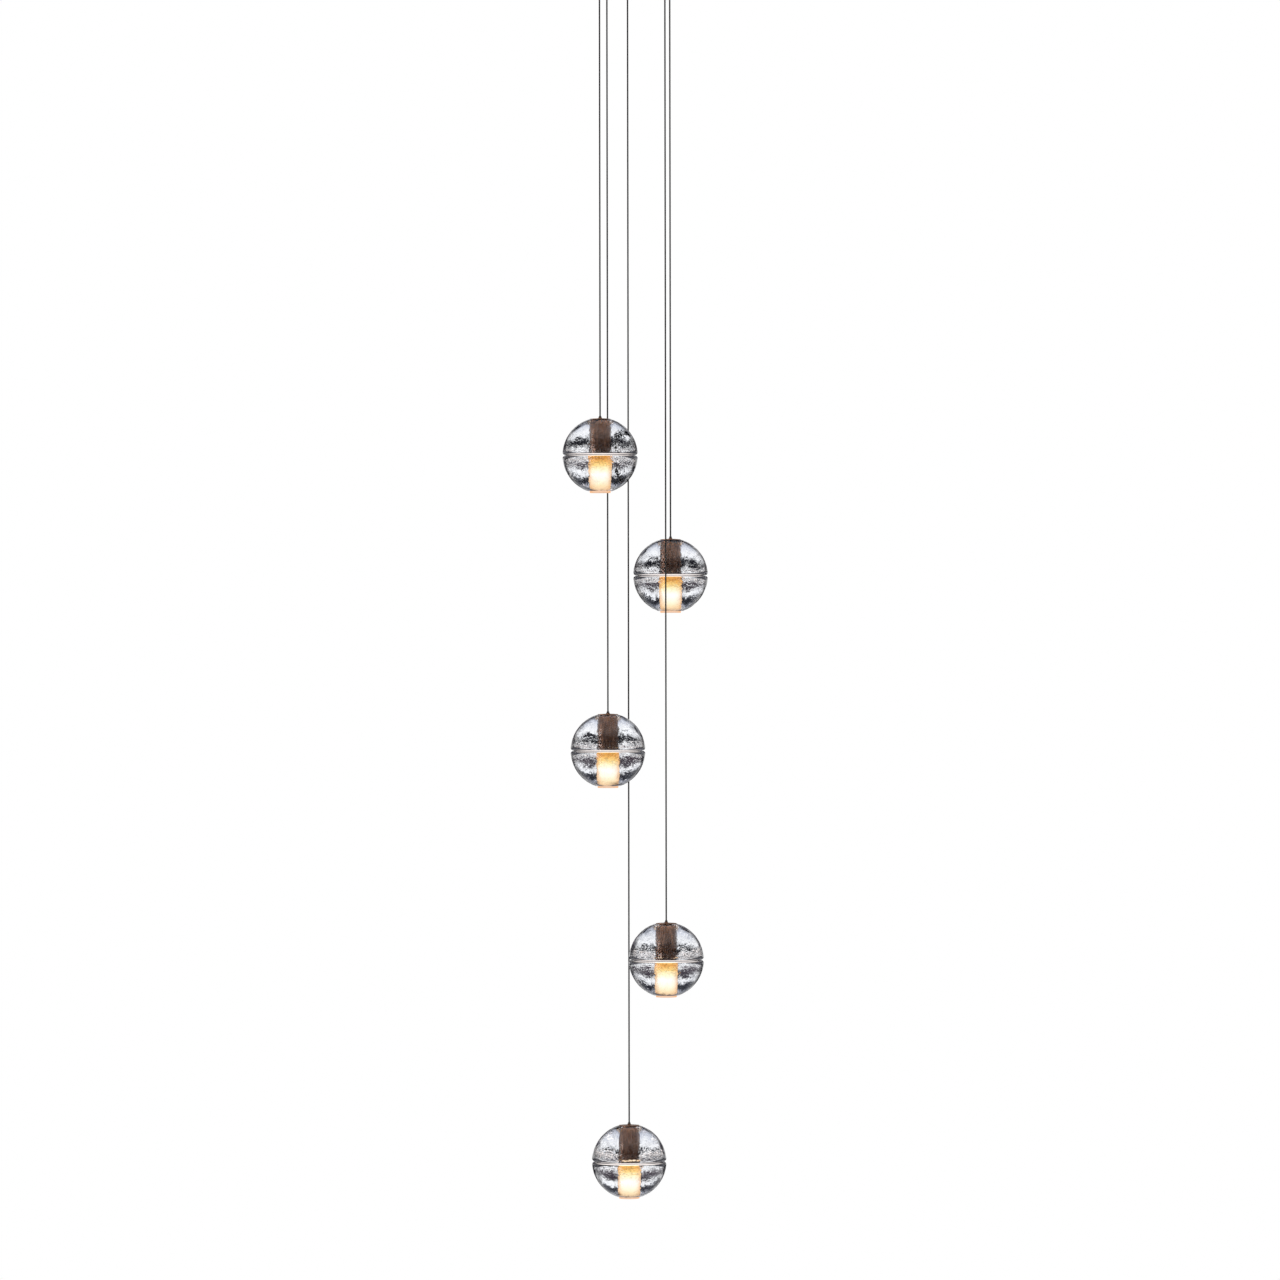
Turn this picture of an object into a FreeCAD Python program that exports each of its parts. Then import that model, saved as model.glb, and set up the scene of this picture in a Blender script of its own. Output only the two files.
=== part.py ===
import FreeCAD, Part
import math
import os

# Ceiling chandelier of five solid glass globes, each hung on its own straight coaxial cable
# from one shallow round canopy. Millimetres, Z up. The origin is the centre of the canopy's
# mounting plate, on the ceiling plane. The front of the chandelier faces -Y.

# Shared allowances
fit_clearance = 0.05
seat_clearance = 0.1
free_clearance = 0.3
cut_overrun = 2.0

# Cast glass globe, two halves with rounded rims that meet in a seam
globe_radius = 50.0
globe_rim_round = 4.0
globe_seam_gap = 0.3
globe_top_flat_radius = 15.3
globe_neck_length = 3.4
globe_neck_wall = 2.8
globe_mouth_chamfer = 0.6

# Frosted tube that lines the lower half and stands a little proud of it
diffuser_radius = 15.4
diffuser_wall = 2.0
diffuser_rim_radius = 17.0
diffuser_rim_height = 3.6
diffuser_lip_radius = 13.8
diffuser_lip_wall = 1.6
diffuser_lip_height = 2.3
diffuser_lip_round = 0.7
diffuser_reach = 49.6

# Bronze sleeve that lines the upper half and carries the glass by its shoulder
sleeve_radius = 14.4
sleeve_wall = 1.2
sleeve_head_thickness = 2.6
sleeve_edge_round = 0.8
sleeve_foot_lip = 1.5

# Round cap over the glass, with the stem that screws into the sleeve's head
cap_radius = 13.75
cap_edge_height = 0.7
cap_crown = 0.8
cap_spigot_clearance = 0.3
cap_stem_radius = 5.0
cap_stem_length = 10.0
cap_boss_radius = 2.7
cap_boss_top_radius = 2.3
cap_boss_height = 0.9

# Coaxial cable, its boot above the cap and the crimped stop below it
cable_radius = 1.0
boot_foot_radius = 2.0
boot_tip_radius = 1.45
boot_height = 2.1
stop_radius = 2.3
stop_length = 7.0
stop_clearance = 0.3

# Ceramic holder in the sleeve's foot
holder_height = 13.0
holder_nose_reach = 3.0
holder_nose_clearance = 0.4
holder_groove_depth = 1.0
holder_groove_width = 2.0

# Two-pin low-voltage capsule lamp
lamp_bulb_radius = 4.75
lamp_bulb_length = 21.0
lamp_tip_radius = 1.2
lamp_pinch_length = 10.0
lamp_pinch_width = 8.6
lamp_pinch_thickness = 3.2
lamp_pin_radius = 0.5
lamp_pin_length = 7.5
lamp_pin_spacing = 4.0
lamp_pin_clearance = 0.1

# Canopy cover, a spun dish
canopy_radius = 101.5
canopy_depth = 50.0
canopy_sheet = 1.5
canopy_corner_round = 9.0
canopy_ceiling_gap = 0.5
canopy_lip_stand = 1.2
canopy_lip_height = 1.6

# Mounting plate against the ceiling, with a turned-down rim for the cover's screws
plate_sheet = 2.0
plate_rim_drop = 14.0
plate_bend_round = 3.0
plate_slot_spacing = 89.0
plate_slot_length = 14.0
plate_slot_width = 4.8
plate_entry_radius = 9.5
plate_earth_boss_radius = 6.5
plate_earth_x = 72.0
plate_earth_y = 8.0

# Button-head screws through the cover's wall into the plate's rim
canopy_screw_count = 3
canopy_screw_first_angle = 90.0
canopy_screw_radius = 2.0
canopy_screw_drop = 8.0
canopy_screw_hole_clearance = 0.25
canopy_screw_length = 7.0
canopy_screw_head_radius = 4.0
canopy_screw_head_height = 2.4
canopy_screw_socket_width = 2.5
canopy_screw_socket_depth = 1.4

# Cable grips in the canopy's floor, each with a bell mouth that lets its cable swing
grip_stem_radius = 5.0
grip_stem_clearance = 0.25
grip_stem_reach = 5.5
grip_body_radius = 7.0
grip_body_height = 5.0
grip_dome_height = 6.0
grip_dome_radius = 5.2
grip_bell_height = 6.5
grip_bell_angle = 20.0
grip_nut_across_flats = 14.0
grip_nut_height = 3.5

# Swing gap between a hanging cable's end and its fixed tail
pivot_gap = 0.7

# Low-voltage transformer on the plate, its place a share of the canopy's radius
transformer_length = 96.0
transformer_width = 44.0
transformer_height = 24.0
transformer_tray_height = 19.0
transformer_round = 3.0
transformer_lid_step = 0.8
transformer_place_share = 0.49
ear_length = 9.0
ear_width = 16.0
ear_thickness = 3.0
ear_hole_clearance = 0.25

# Terminal block on the plate, one way for each cable, its place a share of the canopy's radius
terminal_way_pitch = 12.0
terminal_end_margin = 7.0
terminal_width = 18.0
terminal_height = 18.0
terminal_round = 1.2
terminal_place_share = 0.355
terminal_port_radius = 1.6
terminal_port_depth = 6.0
terminal_driver_hole_radius = 2.2
terminal_driver_hole_depth = 4.0

# Snap bushing that guards the supply wires where they pass the plate
bushing_bore_radius = 7.0
bushing_flange_radius = 12.0
bushing_flange_thickness = 2.0

# Pan-head screws that fix the fittings to the plate
plate_screw_radius = 2.0
plate_screw_head_radius = 3.8
plate_screw_head_height = 2.2
plate_screw_slot_width = 0.9
plate_screw_slot_depth = 1.0

# Cable tails inside the canopy
tail_level = -32.5
tail_bend_radius = 10.0

# Where each cable leaves the canopy, as shares of a globe's radius, so that cables keep clear of globes
# when the globes change, and how far down its globe hangs, as a share of the lowest one's drop
lowest_drop = 1620.3
pendants = [
    {"number": 1, "x_share": -0.914, "y_share": -0.84, "drop_share": 0.41832, "terminal_way": 1},
    {"number": 2, "x_share": 0.952, "y_share": 0.68, "drop_share": 0.51602, "terminal_way": 4},
    {"number": 3, "x_share": -0.724, "y_share": 0.24, "drop_share": 0.65988, "terminal_way": 0},
    {"number": 4, "x_share": 0.818, "y_share": -0.44, "drop_share": 0.83071, "terminal_way": 3},
    {"number": 5, "x_share": -0.176, "y_share": 1.2, "drop_share": 1, "terminal_way": 2},
]
for pendant in pendants:
    pendant["x"] = pendant["x_share"] * globe_radius
    pendant["y"] = pendant["y_share"] * globe_radius
    pendant["drop"] = pendant["drop_share"] * lowest_drop

# Worked-out sizes of the globe's linings
half_seam = globe_seam_gap / 2
rim_half_height = diffuser_rim_height / 2
recess_depth = rim_half_height + seat_clearance
recess_radius = diffuser_rim_radius + free_clearance
lower_bore_radius = diffuser_radius + free_clearance
upper_bore_radius = sleeve_radius + free_clearance
neck_radius = upper_bore_radius - globe_neck_wall
globe_top = math.sqrt(globe_radius ** 2 - globe_top_flat_radius ** 2)
neck_bottom = globe_top - globe_neck_length
sleeve_top = neck_bottom - seat_clearance
sleeve_bottom = rim_half_height + free_clearance
sleeve_bore = sleeve_radius - sleeve_wall
sleeve_mouth_radius = sleeve_bore - sleeve_foot_lip
holder_radius = sleeve_bore - free_clearance
holder_bottom = sleeve_bottom + sleeve_wall + seat_clearance
holder_top = holder_bottom + holder_height
holder_nose_radius = sleeve_mouth_radius - holder_nose_clearance
holder_nose_bottom = holder_bottom - holder_nose_reach
cap_bottom = globe_top + seat_clearance
cap_top = cap_bottom + cap_edge_height + cap_crown
cap_stem_bottom = sleeve_top - cap_stem_length
cable_bore = cable_radius + fit_clearance
stop_top = cap_bottom - globe_neck_length / 2

# Worked-out levels of the canopy, all below the ceiling plane
floor_outside = -canopy_depth
floor_inside = floor_outside + canopy_sheet
plate_underside = -plate_sheet
grip_mouth = floor_outside - grip_body_height - grip_dome_height
pivot_level = grip_mouth + grip_bell_height
grip_stem_top = floor_inside + grip_stem_reach
plate_radius = canopy_radius - canopy_sheet - free_clearance
terminal_length = (len(pendants) - 1) * terminal_way_pitch + 2 * terminal_end_margin
transformer_centre_y = -transformer_place_share * canopy_radius
terminal_centre_y = terminal_place_share * canopy_radius


def point(radius, height):
    """A point of an outline in the XZ plane."""
    return FreeCAD.Vector(radius, 0, height)


def revolved(start, steps):
    """Solid of revolution about Z. A step of one point is a line, a step of two points is an arc."""
    edges = []
    here = start
    for step in steps + [[start]]:
        there = step[-1]
        if len(step) == 1:
            edges.append(Part.LineSegment(point(*here), point(*there)).toShape())
        else:
            edges.append(Part.Arc(point(*here), point(*step[0]), point(*there)).toShape())
        here = there
    face = Part.Face(Part.Wire(edges))
    return face.revolve(FreeCAD.Vector(0, 0, 0), FreeCAD.Vector(0, 0, 1), 360)


def arc_step(centre, radius, first_angle, last_angle):
    """Arc about a centre, from one angle to another in radians, as its middle and its end."""
    step = []
    for angle in ((first_angle + last_angle) / 2, last_angle):
        step.append((centre[0] + radius * math.cos(angle), centre[1] + radius * math.sin(angle)))
    return step


def rod(radius, bottom, top, x=0, y=0):
    """Upright round rod between two levels."""
    return Part.makeCylinder(radius, top - bottom, FreeCAD.Vector(x, y, bottom))


def block(length, width, height, corner_round, bottom):
    """Box centred on the Z axis, with its upright edges rounded."""
    box = Part.makeBox(length, width, height, FreeCAD.Vector(-length / 2, -width / 2, bottom))
    upright = [edge for edge in box.Edges if abs(edge.tangentAt(edge.FirstParameter).z) > 0.5]
    return box.makeFillet(corner_round, upright)


def hexagon(across_flats, bottom, height):
    """Upright hexagonal prism on the Z axis."""
    corner_radius = across_flats / 2 / math.cos(math.pi / 6)
    corners = []
    for index in range(7):
        angle = index * math.pi / 3
        x = corner_radius * math.cos(angle)
        y = corner_radius * math.sin(angle)
        corners.append(FreeCAD.Vector(x, y, bottom))
    return Part.Face(Part.makePolygon(corners)).extrude(FreeCAD.Vector(0, 0, height))


def moved(shape, x, y, z=0):
    """Copy of a shape, shifted."""
    copy = shape.copy()
    copy.translate(FreeCAD.Vector(x, y, z))
    return copy


def turned(shape, angle):
    """Copy of a shape, turned about the Z axis by degrees."""
    copy = shape.copy()
    copy.rotate(FreeCAD.Vector(0, 0, 0), FreeCAD.Vector(0, 0, 1), angle)
    return copy


def glass_skin(mouth_radius):
    """Outline of a half globe from its flat face round the rim and over the sphere to its mouth."""
    centre_height = half_seam + globe_rim_round
    centre_reach = globe_radius - globe_rim_round
    centre_radius = math.sqrt(centre_reach ** 2 - centre_height ** 2)
    rim_angle = math.atan2(centre_height, centre_radius)
    mouth_angle = math.acos(mouth_radius / globe_radius)
    return [
        [(centre_radius, half_seam)],
        arc_step((centre_radius, centre_height), globe_rim_round, -math.pi / 2, rim_angle),
        arc_step((0, 0), globe_radius, rim_angle, mouth_angle),
    ]


def upper_glass():
    """Upper half globe: sleeve bore, carrying ledge round the neck, and a seat for the tube's rim."""
    return revolved((recess_radius, half_seam), glass_skin(globe_top_flat_radius) + [
        [(neck_radius + globe_mouth_chamfer, globe_top)],
        [(neck_radius, globe_top - globe_mouth_chamfer)],
        [(neck_radius, neck_bottom)],
        [(upper_bore_radius, neck_bottom)],
        [(upper_bore_radius, recess_depth)],
        [(recess_radius, recess_depth)],
    ])


def lower_glass():
    """Lower half globe: a straight bore for the frosted tube, and a seat for the tube's rim."""
    mouth_radius = lower_bore_radius + globe_mouth_chamfer
    mouth_depth = math.sqrt(globe_radius ** 2 - mouth_radius ** 2)
    upright = revolved((recess_radius, half_seam), glass_skin(mouth_radius) + [
        [(lower_bore_radius, mouth_depth - globe_mouth_chamfer)],
        [(lower_bore_radius, recess_depth)],
        [(recess_radius, recess_depth)],
    ])
    return upright.mirror(FreeCAD.Vector(0, 0, 0), FreeCAD.Vector(0, 0, 1))


def diffuser():
    """Frosted tube, open at its foot: a broad rim held in the seam, and a drawn-in lip below."""
    bore = diffuser_radius - diffuser_wall
    lip_bore = diffuser_lip_radius - diffuser_lip_wall
    shoulder = -diffuser_reach + diffuser_lip_height
    neck = shoulder + diffuser_radius - diffuser_lip_radius
    foot_centre = (diffuser_lip_radius - diffuser_lip_round, -diffuser_reach + diffuser_lip_round)
    return revolved((bore, rim_half_height), [
        [(diffuser_rim_radius, rim_half_height)],
        [(diffuser_rim_radius, -rim_half_height)],
        [(diffuser_radius, -rim_half_height)],
        [(diffuser_radius, neck)],
        arc_step((diffuser_lip_radius, neck), diffuser_radius - diffuser_lip_radius, 0, -math.pi / 2),
        [(diffuser_lip_radius, foot_centre[1])],
        arc_step(foot_centre, diffuser_lip_round, 0, -math.pi / 2),
        [(lip_bore, -diffuser_reach)],
        [(lip_bore, neck)],
        [(bore, neck + bore - lip_bore)],
    ])


def lamp_sleeve():
    """Bronze sleeve: a threaded head under the glass's ledge, and a rolled lip round its foot."""
    edge_centre = (sleeve_radius - sleeve_edge_round, sleeve_top - sleeve_edge_round)
    head_bottom = sleeve_top - sleeve_head_thickness
    return revolved((sleeve_mouth_radius, sleeve_bottom), [
        [(sleeve_radius, sleeve_bottom)],
        [(sleeve_radius, edge_centre[1])],
        arc_step(edge_centre, sleeve_edge_round, 0, math.pi / 2),
        [(cap_stem_radius + fit_clearance, sleeve_top)],
        [(cap_stem_radius + fit_clearance, head_bottom)],
        [(sleeve_bore, head_bottom)],
        [(sleeve_bore, sleeve_bottom + sleeve_wall)],
        [(sleeve_mouth_radius, sleeve_bottom + sleeve_wall)],
    ])


def top_cap():
    """Crowned cap: a spigot in the glass's neck, a threaded stem below and a cable boss above."""
    spigot_radius = neck_radius - cap_spigot_clearance
    spigot_bottom = sleeve_top + seat_clearance
    edge_top = cap_bottom + cap_edge_height
    stop_bore = stop_radius + stop_clearance
    crown_radius = (cap_radius ** 2 + cap_crown ** 2) / 2 / cap_crown
    crown_centre = (0, edge_top + cap_crown - crown_radius)
    boss_root_angle = math.acos(cap_boss_radius / crown_radius)
    edge_angle = math.atan2(edge_top - crown_centre[1], cap_radius)
    return revolved((cable_bore, stop_top), [
        [(stop_bore, stop_top)],
        [(stop_bore, cap_stem_bottom)],
        [(cap_stem_radius, cap_stem_bottom)],
        [(cap_stem_radius, spigot_bottom)],
        [(spigot_radius, spigot_bottom)],
        [(spigot_radius, cap_bottom)],
        [(cap_radius, cap_bottom)],
        [(cap_radius, edge_top)],
        arc_step(crown_centre, crown_radius, edge_angle, boss_root_angle),
        [(cap_boss_top_radius, cap_top + cap_boss_height)],
        [(cable_bore, cap_top + cap_boss_height)],
    ])


def cable_boot():
    """Tapered rubber boot round the cable, standing on the cap's boss."""
    foot = cap_top + cap_boss_height + seat_clearance
    return revolved((cable_bore, foot), [
        [(boot_foot_radius, foot)],
        [(boot_tip_radius, foot + boot_height)],
        [(cable_bore, foot + boot_height)],
    ])


def cable_stop():
    """Sleeve crimped on the cable inside the cap's stem, which hangs on it."""
    return revolved((cable_bore, stop_top - seat_clearance), [
        [(stop_radius, stop_top - seat_clearance)],
        [(stop_radius, stop_top - seat_clearance - stop_length)],
        [(cable_bore, stop_top - seat_clearance - stop_length)],
    ])


def hanging_cable(drop):
    """Straight cable from its pivot in the canopy's grip down to the lamp holder's back."""
    return rod(cable_radius, -drop + holder_top + seat_clearance, pivot_level)


def lamp_holder():
    """Ceramic holder: a grooved body on the sleeve's lip and a nose with two pin sockets."""
    groove_bottom = holder_bottom + holder_height / 2 - holder_groove_width / 2
    groove_top = groove_bottom + holder_groove_width
    body = revolved((0, holder_nose_bottom), [
        [(holder_nose_radius, holder_nose_bottom)],
        [(holder_nose_radius, holder_bottom)],
        [(holder_radius, holder_bottom)],
        [(holder_radius, groove_bottom)],
        [(holder_radius - holder_groove_depth, groove_bottom)],
        [(holder_radius - holder_groove_depth, groove_top)],
        [(holder_radius, groove_top)],
        [(holder_radius, holder_top)],
        [(0, holder_top)],
    ])
    socket_radius = lamp_pin_radius + lamp_pin_clearance
    socket_top = holder_nose_bottom + lamp_pin_length + free_clearance
    for side in (-1, 1):
        x = side * lamp_pin_spacing / 2
        body = body.cut(rod(socket_radius, holder_nose_bottom - cut_overrun, socket_top, x))
    return body


def lamp():
    """Capsule lamp: flat pressed foot with two pins, round bulb and a small sealed tip."""
    base = holder_nose_bottom - seat_clearance
    bulb_top = base - lamp_pinch_length
    dome_centre = bulb_top - lamp_bulb_length + lamp_bulb_radius
    shoulder_centre = bulb_top - lamp_bulb_radius
    tip_angle = -math.acos(lamp_tip_radius / lamp_bulb_radius)
    tip_root = dome_centre + lamp_bulb_radius * math.sin(tip_angle)
    bulb = revolved((0, bulb_top), [
        arc_step((0, shoulder_centre), lamp_bulb_radius, math.pi / 2, 0),
        [(lamp_bulb_radius, dome_centre)],
        arc_step((0, dome_centre), lamp_bulb_radius, 0, tip_angle),
        arc_step((0, tip_root), lamp_tip_radius, 0, -math.pi / 2),
    ])
    pinch = block(
        lamp_pinch_width,
        lamp_pinch_thickness,
        lamp_pinch_length + lamp_bulb_radius,
        lamp_pinch_thickness / 3,
        base - lamp_pinch_length - lamp_bulb_radius,
    )
    whole = bulb.fuse(pinch)
    for side in (-1, 1):
        x = side * lamp_pin_spacing / 2
        pin_root = base - lamp_pin_length / 2
        whole = whole.fuse(rod(lamp_pin_radius, pin_root, base + lamp_pin_length, x))
    return whole


def plate_screw_places():
    """Where the fittings are screwed to the plate: transformer ears, terminal ears, earth boss."""
    transformer_x = (transformer_length + ear_length) / 2
    terminal_x = (terminal_length + ear_length) / 2
    places = []
    for side in (-1, 1):
        places.append((side * transformer_x, transformer_centre_y))
        places.append((side * terminal_x, terminal_centre_y))
    places.append((plate_earth_x, plate_earth_y))
    return places


def canopy_screw_angles():
    """Bearings of the canopy's side screws, in degrees from +X."""
    step = 360 / canopy_screw_count
    return [canopy_screw_first_angle + index * step for index in range(canopy_screw_count)]


def radial_rod(radius, inner, outer, angle):
    """Level round rod that points out from the Z axis, at the height of the canopy's side screws."""
    start = FreeCAD.Vector(inner, 0, -canopy_screw_drop)
    return turned(Part.makeCylinder(radius, outer - inner, start, FreeCAD.Vector(1, 0, 0)), angle)


def ceiling_slot(centre_x):
    """Cutter for one ceiling screw slot, long side along X."""
    slot = block(
        plate_slot_length,
        plate_slot_width,
        plate_sheet + 2 * cut_overrun,
        plate_slot_width / 2 - fit_clearance / 2,
        plate_underside - cut_overrun,
    )
    return moved(slot, centre_x, 0)


def mounting_plate():
    """Round plate with a turned-down rim, two ceiling slots, wire entry and pressed earth boss."""
    rim_inside = plate_radius - plate_sheet
    bend_centre = (plate_radius - plate_bend_round, -plate_bend_round)
    plate = revolved((0, 0), [
        [(bend_centre[0], 0)],
        arc_step(bend_centre, plate_bend_round, math.pi / 2, 0),
        [(plate_radius, -plate_rim_drop)],
        [(rim_inside, -plate_rim_drop)],
        [(rim_inside, -plate_bend_round)],
        arc_step(bend_centre, plate_bend_round - plate_sheet, 0, math.pi / 2),
        [(0, plate_underside)],
    ])
    boss_bottom = plate_underside - ear_thickness
    earth_boss = rod(plate_earth_boss_radius, boss_bottom, plate_underside)
    earth_dimple = rod(plate_earth_boss_radius - plate_sheet, boss_bottom + plate_sheet, cut_overrun)
    plate = plate.fuse(moved(earth_boss, plate_earth_x, plate_earth_y))
    plate = plate.cut(moved(earth_dimple, plate_earth_x, plate_earth_y))
    for side in (-1, 1):
        plate = plate.cut(ceiling_slot(side * plate_slot_spacing / 2))
    plate = plate.cut(rod(plate_entry_radius, plate_underside - cut_overrun, cut_overrun))
    for x, y in plate_screw_places():
        screw_hole = rod(plate_screw_radius + fit_clearance, boss_bottom - cut_overrun, cut_overrun)
        plate = plate.cut(moved(screw_hole, x, y))
    side_hole_radius = canopy_screw_radius + fit_clearance
    for angle in canopy_screw_angles():
        start = rim_inside - cut_overrun
        plate = plate.cut(radial_rod(side_hole_radius, start, plate_radius + cut_overrun, angle))
    return plate


def canopy_cover():
    """Spun dish with a rounded lower corner, a rolled lip, five grip holes and three side holes."""
    wall_inside = canopy_radius - canopy_sheet
    corner_centre = (canopy_radius - canopy_corner_round, floor_outside + canopy_corner_round)
    lip_bottom = -canopy_ceiling_gap - canopy_lip_height
    cover = revolved((0, floor_outside), [
        [(corner_centre[0], floor_outside)],
        arc_step(corner_centre, canopy_corner_round, -math.pi / 2, 0),
        [(canopy_radius, lip_bottom)],
        [(canopy_radius + canopy_lip_stand, lip_bottom)],
        [(canopy_radius + canopy_lip_stand, -canopy_ceiling_gap)],
        [(wall_inside, -canopy_ceiling_gap)],
        [(wall_inside, corner_centre[1])],
        arc_step(corner_centre, canopy_corner_round - canopy_sheet, 0, -math.pi / 2),
        [(0, floor_inside)],
    ])
    for pendant in pendants:
        hole = rod(
            grip_stem_radius + grip_stem_clearance,
            floor_outside - cut_overrun,
            floor_inside + cut_overrun,
            pendant["x"],
            pendant["y"],
        )
        cover = cover.cut(hole)
    side_hole_radius = canopy_screw_radius + canopy_screw_hole_clearance
    for angle in canopy_screw_angles():
        start = wall_inside - cut_overrun
        cover = cover.cut(radial_rod(side_hole_radius, start, canopy_radius + cut_overrun, angle))
    return cover


def canopy_screw(angle):
    """Button-head screw with a hexagon socket, driven in from the side."""
    seat = canopy_radius + seat_clearance
    crown = (canopy_screw_head_radius ** 2 + canopy_screw_head_height ** 2) / 2 / canopy_screw_head_height
    crown_centre = (0, canopy_screw_head_height - crown)
    edge_angle = math.acos(canopy_screw_head_radius / crown)
    screw = revolved((0, -canopy_screw_length), [
        [(canopy_screw_radius, -canopy_screw_length)],
        [(canopy_screw_radius, 0)],
        [(canopy_screw_head_radius, 0)],
        arc_step(crown_centre, crown, edge_angle, math.pi / 2),
    ])
    socket_floor = canopy_screw_head_height - canopy_screw_socket_depth
    socket_height = canopy_screw_socket_depth + cut_overrun
    screw = screw.cut(hexagon(canopy_screw_socket_width, socket_floor, socket_height))
    screw.rotate(FreeCAD.Vector(0, 0, 0), FreeCAD.Vector(0, 1, 0), 90)
    return turned(moved(screw, seat, 0, -canopy_screw_drop), angle)


def cable_grip():
    """Cable grip: threaded stem through the canopy's floor, round body and a bell mouth."""
    shoulder = floor_outside - seat_clearance
    body_bottom = floor_outside - grip_body_height
    draw_in = grip_body_radius - grip_dome_radius
    dome_round = (draw_in ** 2 + grip_dome_height ** 2) / 2 / draw_in
    dome_angle = -math.asin(grip_dome_height / dome_round)
    bell_top_radius = cable_radius + free_clearance
    bell_mouth_radius = bell_top_radius + grip_bell_height * math.tan(math.radians(grip_bell_angle))
    return revolved((cable_bore, grip_stem_top), [
        [(cable_bore, pivot_level)],
        [(bell_top_radius, pivot_level)],
        [(bell_mouth_radius, grip_mouth)],
        [(grip_dome_radius, grip_mouth)],
        arc_step((grip_body_radius - dome_round, body_bottom), dome_round, dome_angle, 0),
        [(grip_body_radius, shoulder)],
        [(grip_stem_radius, shoulder)],
        [(grip_stem_radius, grip_stem_top)],
    ])


def grip_nut():
    """Hexagon nut that holds a cable grip from inside the canopy."""
    bottom = floor_inside + seat_clearance
    top = bottom + grip_nut_height
    nut = hexagon(grip_nut_across_flats, bottom, grip_nut_height)
    return nut.cut(rod(grip_stem_radius + fit_clearance, bottom - cut_overrun, top + cut_overrun))


def eared_case(case, length):
    """A case on the plate with a screw ear at each end, shifted up under the plate."""
    ear_top = plate_underside - seat_clearance
    ears = block(length + 2 * ear_length, ear_width, ear_thickness, ear_width / 4, ear_top - ear_thickness)
    whole = case.fuse(ears)
    for side in (-1, 1):
        x = side * (length + ear_length) / 2
        hole_radius = plate_screw_radius + ear_hole_clearance
        whole = whole.cut(rod(hole_radius, ear_top - ear_thickness - cut_overrun, ear_top + cut_overrun, x))
    return whole


def transformer():
    """Low-voltage transformer: a deep tray and a lid set in a little, with a screw ear each end."""
    top = plate_underside - seat_clearance
    tray_bottom = top - transformer_tray_height
    lid_bottom = top - transformer_height
    lid_length = transformer_length - 2 * transformer_lid_step
    lid_width = transformer_width - 2 * transformer_lid_step
    tray_height = transformer_tray_height
    tray = block(transformer_length, transformer_width, tray_height, transformer_round, tray_bottom)
    lid = block(lid_length, lid_width, tray_bottom - lid_bottom, transformer_round, lid_bottom)
    return moved(eared_case(tray.fuse(lid), transformer_length), 0, transformer_centre_y)


def terminal_way_x(way):
    """Place along the terminal block of one of its ways."""
    return (way - (len(pendants) - 1) / 2) * terminal_way_pitch


def terminal_block():
    """Terminal block with a cable port below and a driver hole in front for each way."""
    top = plate_underside - seat_clearance
    bottom = top - terminal_height
    case = block(terminal_length, terminal_width, terminal_height, terminal_round, bottom)
    for way in range(len(pendants)):
        x = terminal_way_x(way)
        case = case.cut(rod(terminal_port_radius, bottom - cut_overrun, bottom + terminal_port_depth, x))
        start = FreeCAD.Vector(x, -terminal_width / 2 - cut_overrun, bottom + terminal_height / 2)
        depth = terminal_driver_hole_depth + cut_overrun
        case = case.cut(Part.makeCylinder(terminal_driver_hole_radius, depth, start, FreeCAD.Vector(0, 1, 0)))
    return moved(eared_case(case, terminal_length), 0, terminal_centre_y)


def supply_bushing():
    """Flanged bushing in the plate's wire entry."""
    barrel_radius = plate_entry_radius - fit_clearance
    flange_top = plate_underside - seat_clearance
    return revolved((bushing_bore_radius, -seat_clearance), [
        [(barrel_radius, -seat_clearance)],
        [(barrel_radius, flange_top)],
        [(bushing_flange_radius, flange_top)],
        [(bushing_flange_radius, flange_top - bushing_flange_thickness)],
        [(bushing_bore_radius, flange_top - bushing_flange_thickness)],
    ])


def plate_screw():
    """Slotted pan-head screw that fixes a fitting to the plate from below."""
    seat = plate_underside - ear_thickness - 2 * seat_clearance
    head_bottom = seat - plate_screw_head_height
    round_centre = (plate_screw_head_radius - plate_screw_slot_depth, head_bottom + plate_screw_slot_depth)
    screw = revolved((0, -2 * seat_clearance), [
        [(plate_screw_radius, -2 * seat_clearance)],
        [(plate_screw_radius, seat)],
        [(plate_screw_head_radius, seat)],
        [(plate_screw_head_radius, round_centre[1])],
        arc_step(round_centre, plate_screw_slot_depth, 0, -math.pi / 2),
        [(0, head_bottom)],
    ])
    slot_reach = plate_screw_head_radius + cut_overrun
    slot_corner = FreeCAD.Vector(-slot_reach, -plate_screw_slot_width / 2, head_bottom - cut_overrun)
    slot_depth = plate_screw_slot_depth + cut_overrun
    return screw.cut(Part.makeBox(2 * slot_reach, plate_screw_slot_width, slot_depth, slot_corner))


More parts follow.
